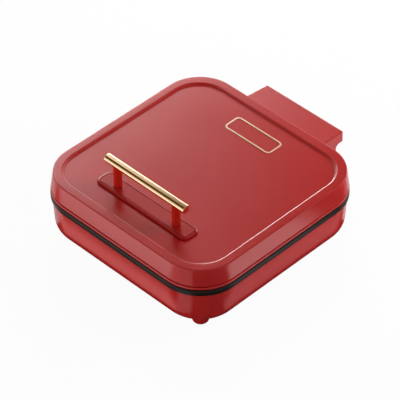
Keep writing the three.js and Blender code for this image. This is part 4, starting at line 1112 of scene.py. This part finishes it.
def buildHandlePlate():
    low, high = handlePlateLow.z, handlePlateHigh.z
    foot, rise = handle.footInset, handle.footRise
    inset, width = handle.grooveInset, handle.grooveWidth
    # inset and height, up over the foot and the bevel and down into the groove
    sections = [(foot, low), (foot, low + rise), (0, low + rise + handle.footSlope)]
    sections += [(inward * mm, high - down * mm) for inward, down in handleBevel]
    sections += [(inset, high), (inset + width / 2, high - handle.grooveDepth), (inset + width, high)]
    size = (handle.plateHalfX, handle.plateHalfY, handle.plateCorner)
    base = loft([roundedLoop(*size, -inward, handleY, z, 10) for inward, z in sections], "handlePlate")
    places = [(-handle.postSpacing, handleY), (handle.postSpacing, handleY)]
    carve(base, cut=rods(screwHole, panelUnderside, high + cutPast, places))
    # the plate's darker red is painted shade from the bar above it
    finishPiece(base, "redDeep", "lid", "handle_plate")


def buildHandle():
    buildHandlePlate()
    radius, end, foot = handle.postRadius, handle.barHalf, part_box("handle_post_right")[0].z
    profile = [(radius - handle.postEdge, foot), (radius, foot + handle.postEdge), (radius, barZ)]
    for side, word in ((1, "Right"), (-1, "Left")):
        x = side * handle.postSpacing
        post = turned(profile, (x, handleY, 0), "Z", 64, "handlePost" + word)
        saddle = rod(handle.barRadius + handle.saddleGap, -end, end, (0, handleY, barZ), "X", 96)
        carve(post, cut=[saddle, *rods(screwHole, foot - cutPast, barZ, [(x, handleY)])])
        # the posts' lighter, more orange red is a painted warm sheen from the brass bar
        finishPiece(post, "redGlossy", "lid", "handle_post_" + word.lower())
    profile = lowRound(handle.barChamfer, handle.barRadius, -end, 4)
    profile += [(r, -h) for r, h in reversed(profile)]
    bar = turned(profile, (0, handleY, barZ), "X", 96, "handleBar")
    finishPiece(bar, "brass", "lid", "handle_bar")


badge = inMillimetres(halfX=31.1, halfY=10.95, corner=4.9, line=1.5, edge=0.18)


def buildBadgeFrame():
    low, high = badgeLow.z, badgeHigh.z
    middle = (badgeLow.y + badgeHigh.y) / 2
    line, edge = badge.line, badge.edge
    sections = [(line, low), (0, low), (0, high - edge)]
    sections += [(edge, high), (line - edge, high), (line, high - edge)]
    size = (badge.halfX, badge.halfY, badge.corner)
    loops = [roundedLoop(*size, -inset, middle, z, 12) for inset, z in sections]
    finishPiece(loft(loops, "badgeFrame", True), "brassLine", "lid", "badge_frame")


# Screws

screws = inMillimetres(pitch=0.9, headHeight=1.8, smallHeadHeight=1.6, smallHeadRadius=2.5)
screwSides = 24
shankShare = 0.5  # of the head's radius
recessShare = 0.55  # of the head's height
# how the names of each body's screws start
screwSets = {
    "base": ("base_screw_", "lower_plate_screw_", "lower_shield_screw"),
    "lid": ("lid_screw_", "upper_plate_screw_", "upper_shield_screw", "handle_screw_"),
}


def buildScrewTree():
    # a cheese head screw with a cross recess on each point, its head at the point and its tip above it
    names = ("Length", "Head Radius", "Head Height", "Shank Radius", "Pitch", "Recess Depth", "Turn")
    tree, given, result = startGrowth("crossScrews", "Sides", *names)
    radius, height, shank, pitch = (given[name] for name in names[1:5])

    def times(value, share):
        return mathNode(tree, "MULTIPLY", value, share)

    def less(value, part):
        return mathNode(tree, "SUBTRACT", value, part)

    def cone(bottom, top, depth, rise):
        made = addNode(
            tree, "GeometryNodeMeshCone", fill_type="NGON",
            Vertices=given["Sides"], Radius_Bottom=bottom, Radius_Top=top, Depth=depth,
        )
        return addNode(tree, "GeometryNodeTransform", Geometry=made, Translation=vectorNode(tree, z=rise))

    def boolean(operation, **values):
        return addNode(tree, "GeometryNodeMeshBoolean", operation=operation, solver="EXACT", **values)

    edge = times(height, 0.3)
    face = times(radius, 0.86)
    headParts = [cone(face, radius, edge, 0.0), cone(radius, radius, less(height, edge), edge)]
    narrow = times(radius, 0.26)
    wide = times(radius, 1.2)
    deep = times(given["Recess Depth"], 2.0)
    cross = []
    for x, y in ((narrow, wide), (wide, narrow)):
        cross.append(addNode(tree, "GeometryNodeMeshCube", Size=vectorNode(tree, x, y, deep)))
    head = boolean("DIFFERENCE", Mesh_1=boolean("UNION", Mesh_2=headParts), Mesh_2=cross)
    core = times(shank, 0.8)
    tip = times(shank, 1.1)
    threaded = less(less(given["Length"], height), tip)
    turns = lineNode(
        tree, "OFFSET", Count=mathNode(tree, "FLOOR", mathNode(tree, "DIVIDE", threaded, pitch)),
        Start_Location=vectorNode(tree, z=height), Offset=vectorNode(tree, z=pitch),
    )
    thread = onPoints(tree, turns, cone(core, shank, times(pitch, 0.55), 0.0))
    point = cone(core, times(shank, 0.25), tip, mathNode(tree, "ADD", height, threaded))
    parts = [head, cone(core, core, threaded, height), point, thread]
    whole = addNode(tree, "GeometryNodeJoinGeometry", Geometry=parts)
    turn = vectorNode(tree, x=given["Turn"])
    facing = addNode(tree, "GeometryNodeTransform", Geometry=whole, Rotation=turn)
    return giveGrowth(tree, given, result, onPoints(tree, given["Geometry"], facing))


def buildScrews():
    tree = buildScrewTree()
    for body, sets in screwSets.items():
        work = bmesh.new()
        replaced = []
        for start in sets:
            headUp = start.startswith("upper")
            names = sorted(name for name in frame["nodes"] if name.startswith(start))
            boxes = [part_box(name) for name in names]
            low, high = boxes[0]
            radius = (high.x - low.x) / 2
            height = screws.headHeight if radius > screws.smallHeadRadius else screws.smallHeadHeight
            values = {
                "Sides": screwSides, "Pitch": screws.pitch, "Length": high.z - low.z,
                "Head Radius": radius, "Shank Radius": radius * shankShare,
                "Head Height": height, "Recess Depth": height * recessShare,
                "Turn": math.pi if headUp else 0.0, "Material": finishes["steel"][0],
            }
            points = [((a.x + b.x) / 2, (a.y + b.y) / 2, b.z if headUp else a.z) for a, b in boxes]
            grown = growPiece(start + "grown", tree, values, points)
            work.from_mesh(grown.data)
            bpy.data.meshes.remove(grown.data)
            replaced += names
        finishPiece(newPiece(body + "Screws", work), "steel", body, *replaced)


# Small parts

padHollowShares = (0.55, 0.62)  # of the pad's radius, at the top and at the foot of its hollow


def buildFootPads():
    edge = shell.padEdge
    top, foot = padHollowShares
    for word in ("rear_right", "rear_left", "front_left", "front_right"):
        low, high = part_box("foot_pad_" + word)
        radius = (high.x - low.x) / 2
        profile = [(radius * top, shell.padHollow), (radius * foot, 0)]
        profile += lowRound(edge, radius, 0, 4) + [(radius, high.z)]
        pad = turned(profile, ((low.x + high.x) / 2, (low.y + high.y) / 2, 0), name="footPad_" + word)
        finishPiece(pad, "rubber", "base", "foot_pad_" + word)


def buildCordGland():
    low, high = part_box("cord_gland")
    inside, outside = low.y, high.y
    bore, neck, flange, t = gland.bore, gland.neck, gland.flange, gland.thickness
    profile = [
        (bore, inside), (flange - t, inside), (flange - t, inside + t), (neck, inside + t),
        (neck, outside - t), (flange, outside - t),
    ]
    profile += highRound(t / 2, flange, outside, 5)
    profile += [(bore + gland.boreEdge, outside), (bore, outside - gland.boreEdge)]
    bush = turned(profile, (gland.x, 0, gland.z), "Y", name="cordGland", hollow=True)
    finishPiece(bush, "black", "base", "cord_gland")


def buildHingePins():
    shank, head, edge = hinge.pinRadius, hinge.pinHead, hinge.pinEdge
    for side, word in ((1, "right"), (-1, "left")):
        low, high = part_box("hinge_pin_" + word)
        inner, outer = (high.x, low.x) if side < 0 else (low.x, high.x)
        headEnd = inner + side * hinge.pinHeadHeight
        profile = [
            (head - edge, inner), (head, inner + side * edge), (head, headEnd),
            (shank, headEnd), (shank, outer - side * edge), (shank - edge, outer),
        ]
        if side < 0:
            profile.reverse()
        pin = turned(profile, hingeLine, "X", name="hingePin_" + word)
        finishPiece(pin, "steel", "base", "hinge_pin_" + word)


buildLidCover()
buildLidRing()
buildBaseRing()
buildBaseShell()
buildPlates()
buildHandle()
buildBadgeFrame()
buildScrews()
buildFootPads()
buildCordGland()
buildHingePins()


# Finishes on the CAD nodes

for part in frame["record"]["subparts"]:
    suited = [material for material, slot in finishes.values() if slot == part["material_slot"]]
    slots = frame["nodes"][part["node"]].data.materials
    slots.clear()
    slots.append(finishes["sheath"][0] if "heating_element" in part["node"] else suited[0])
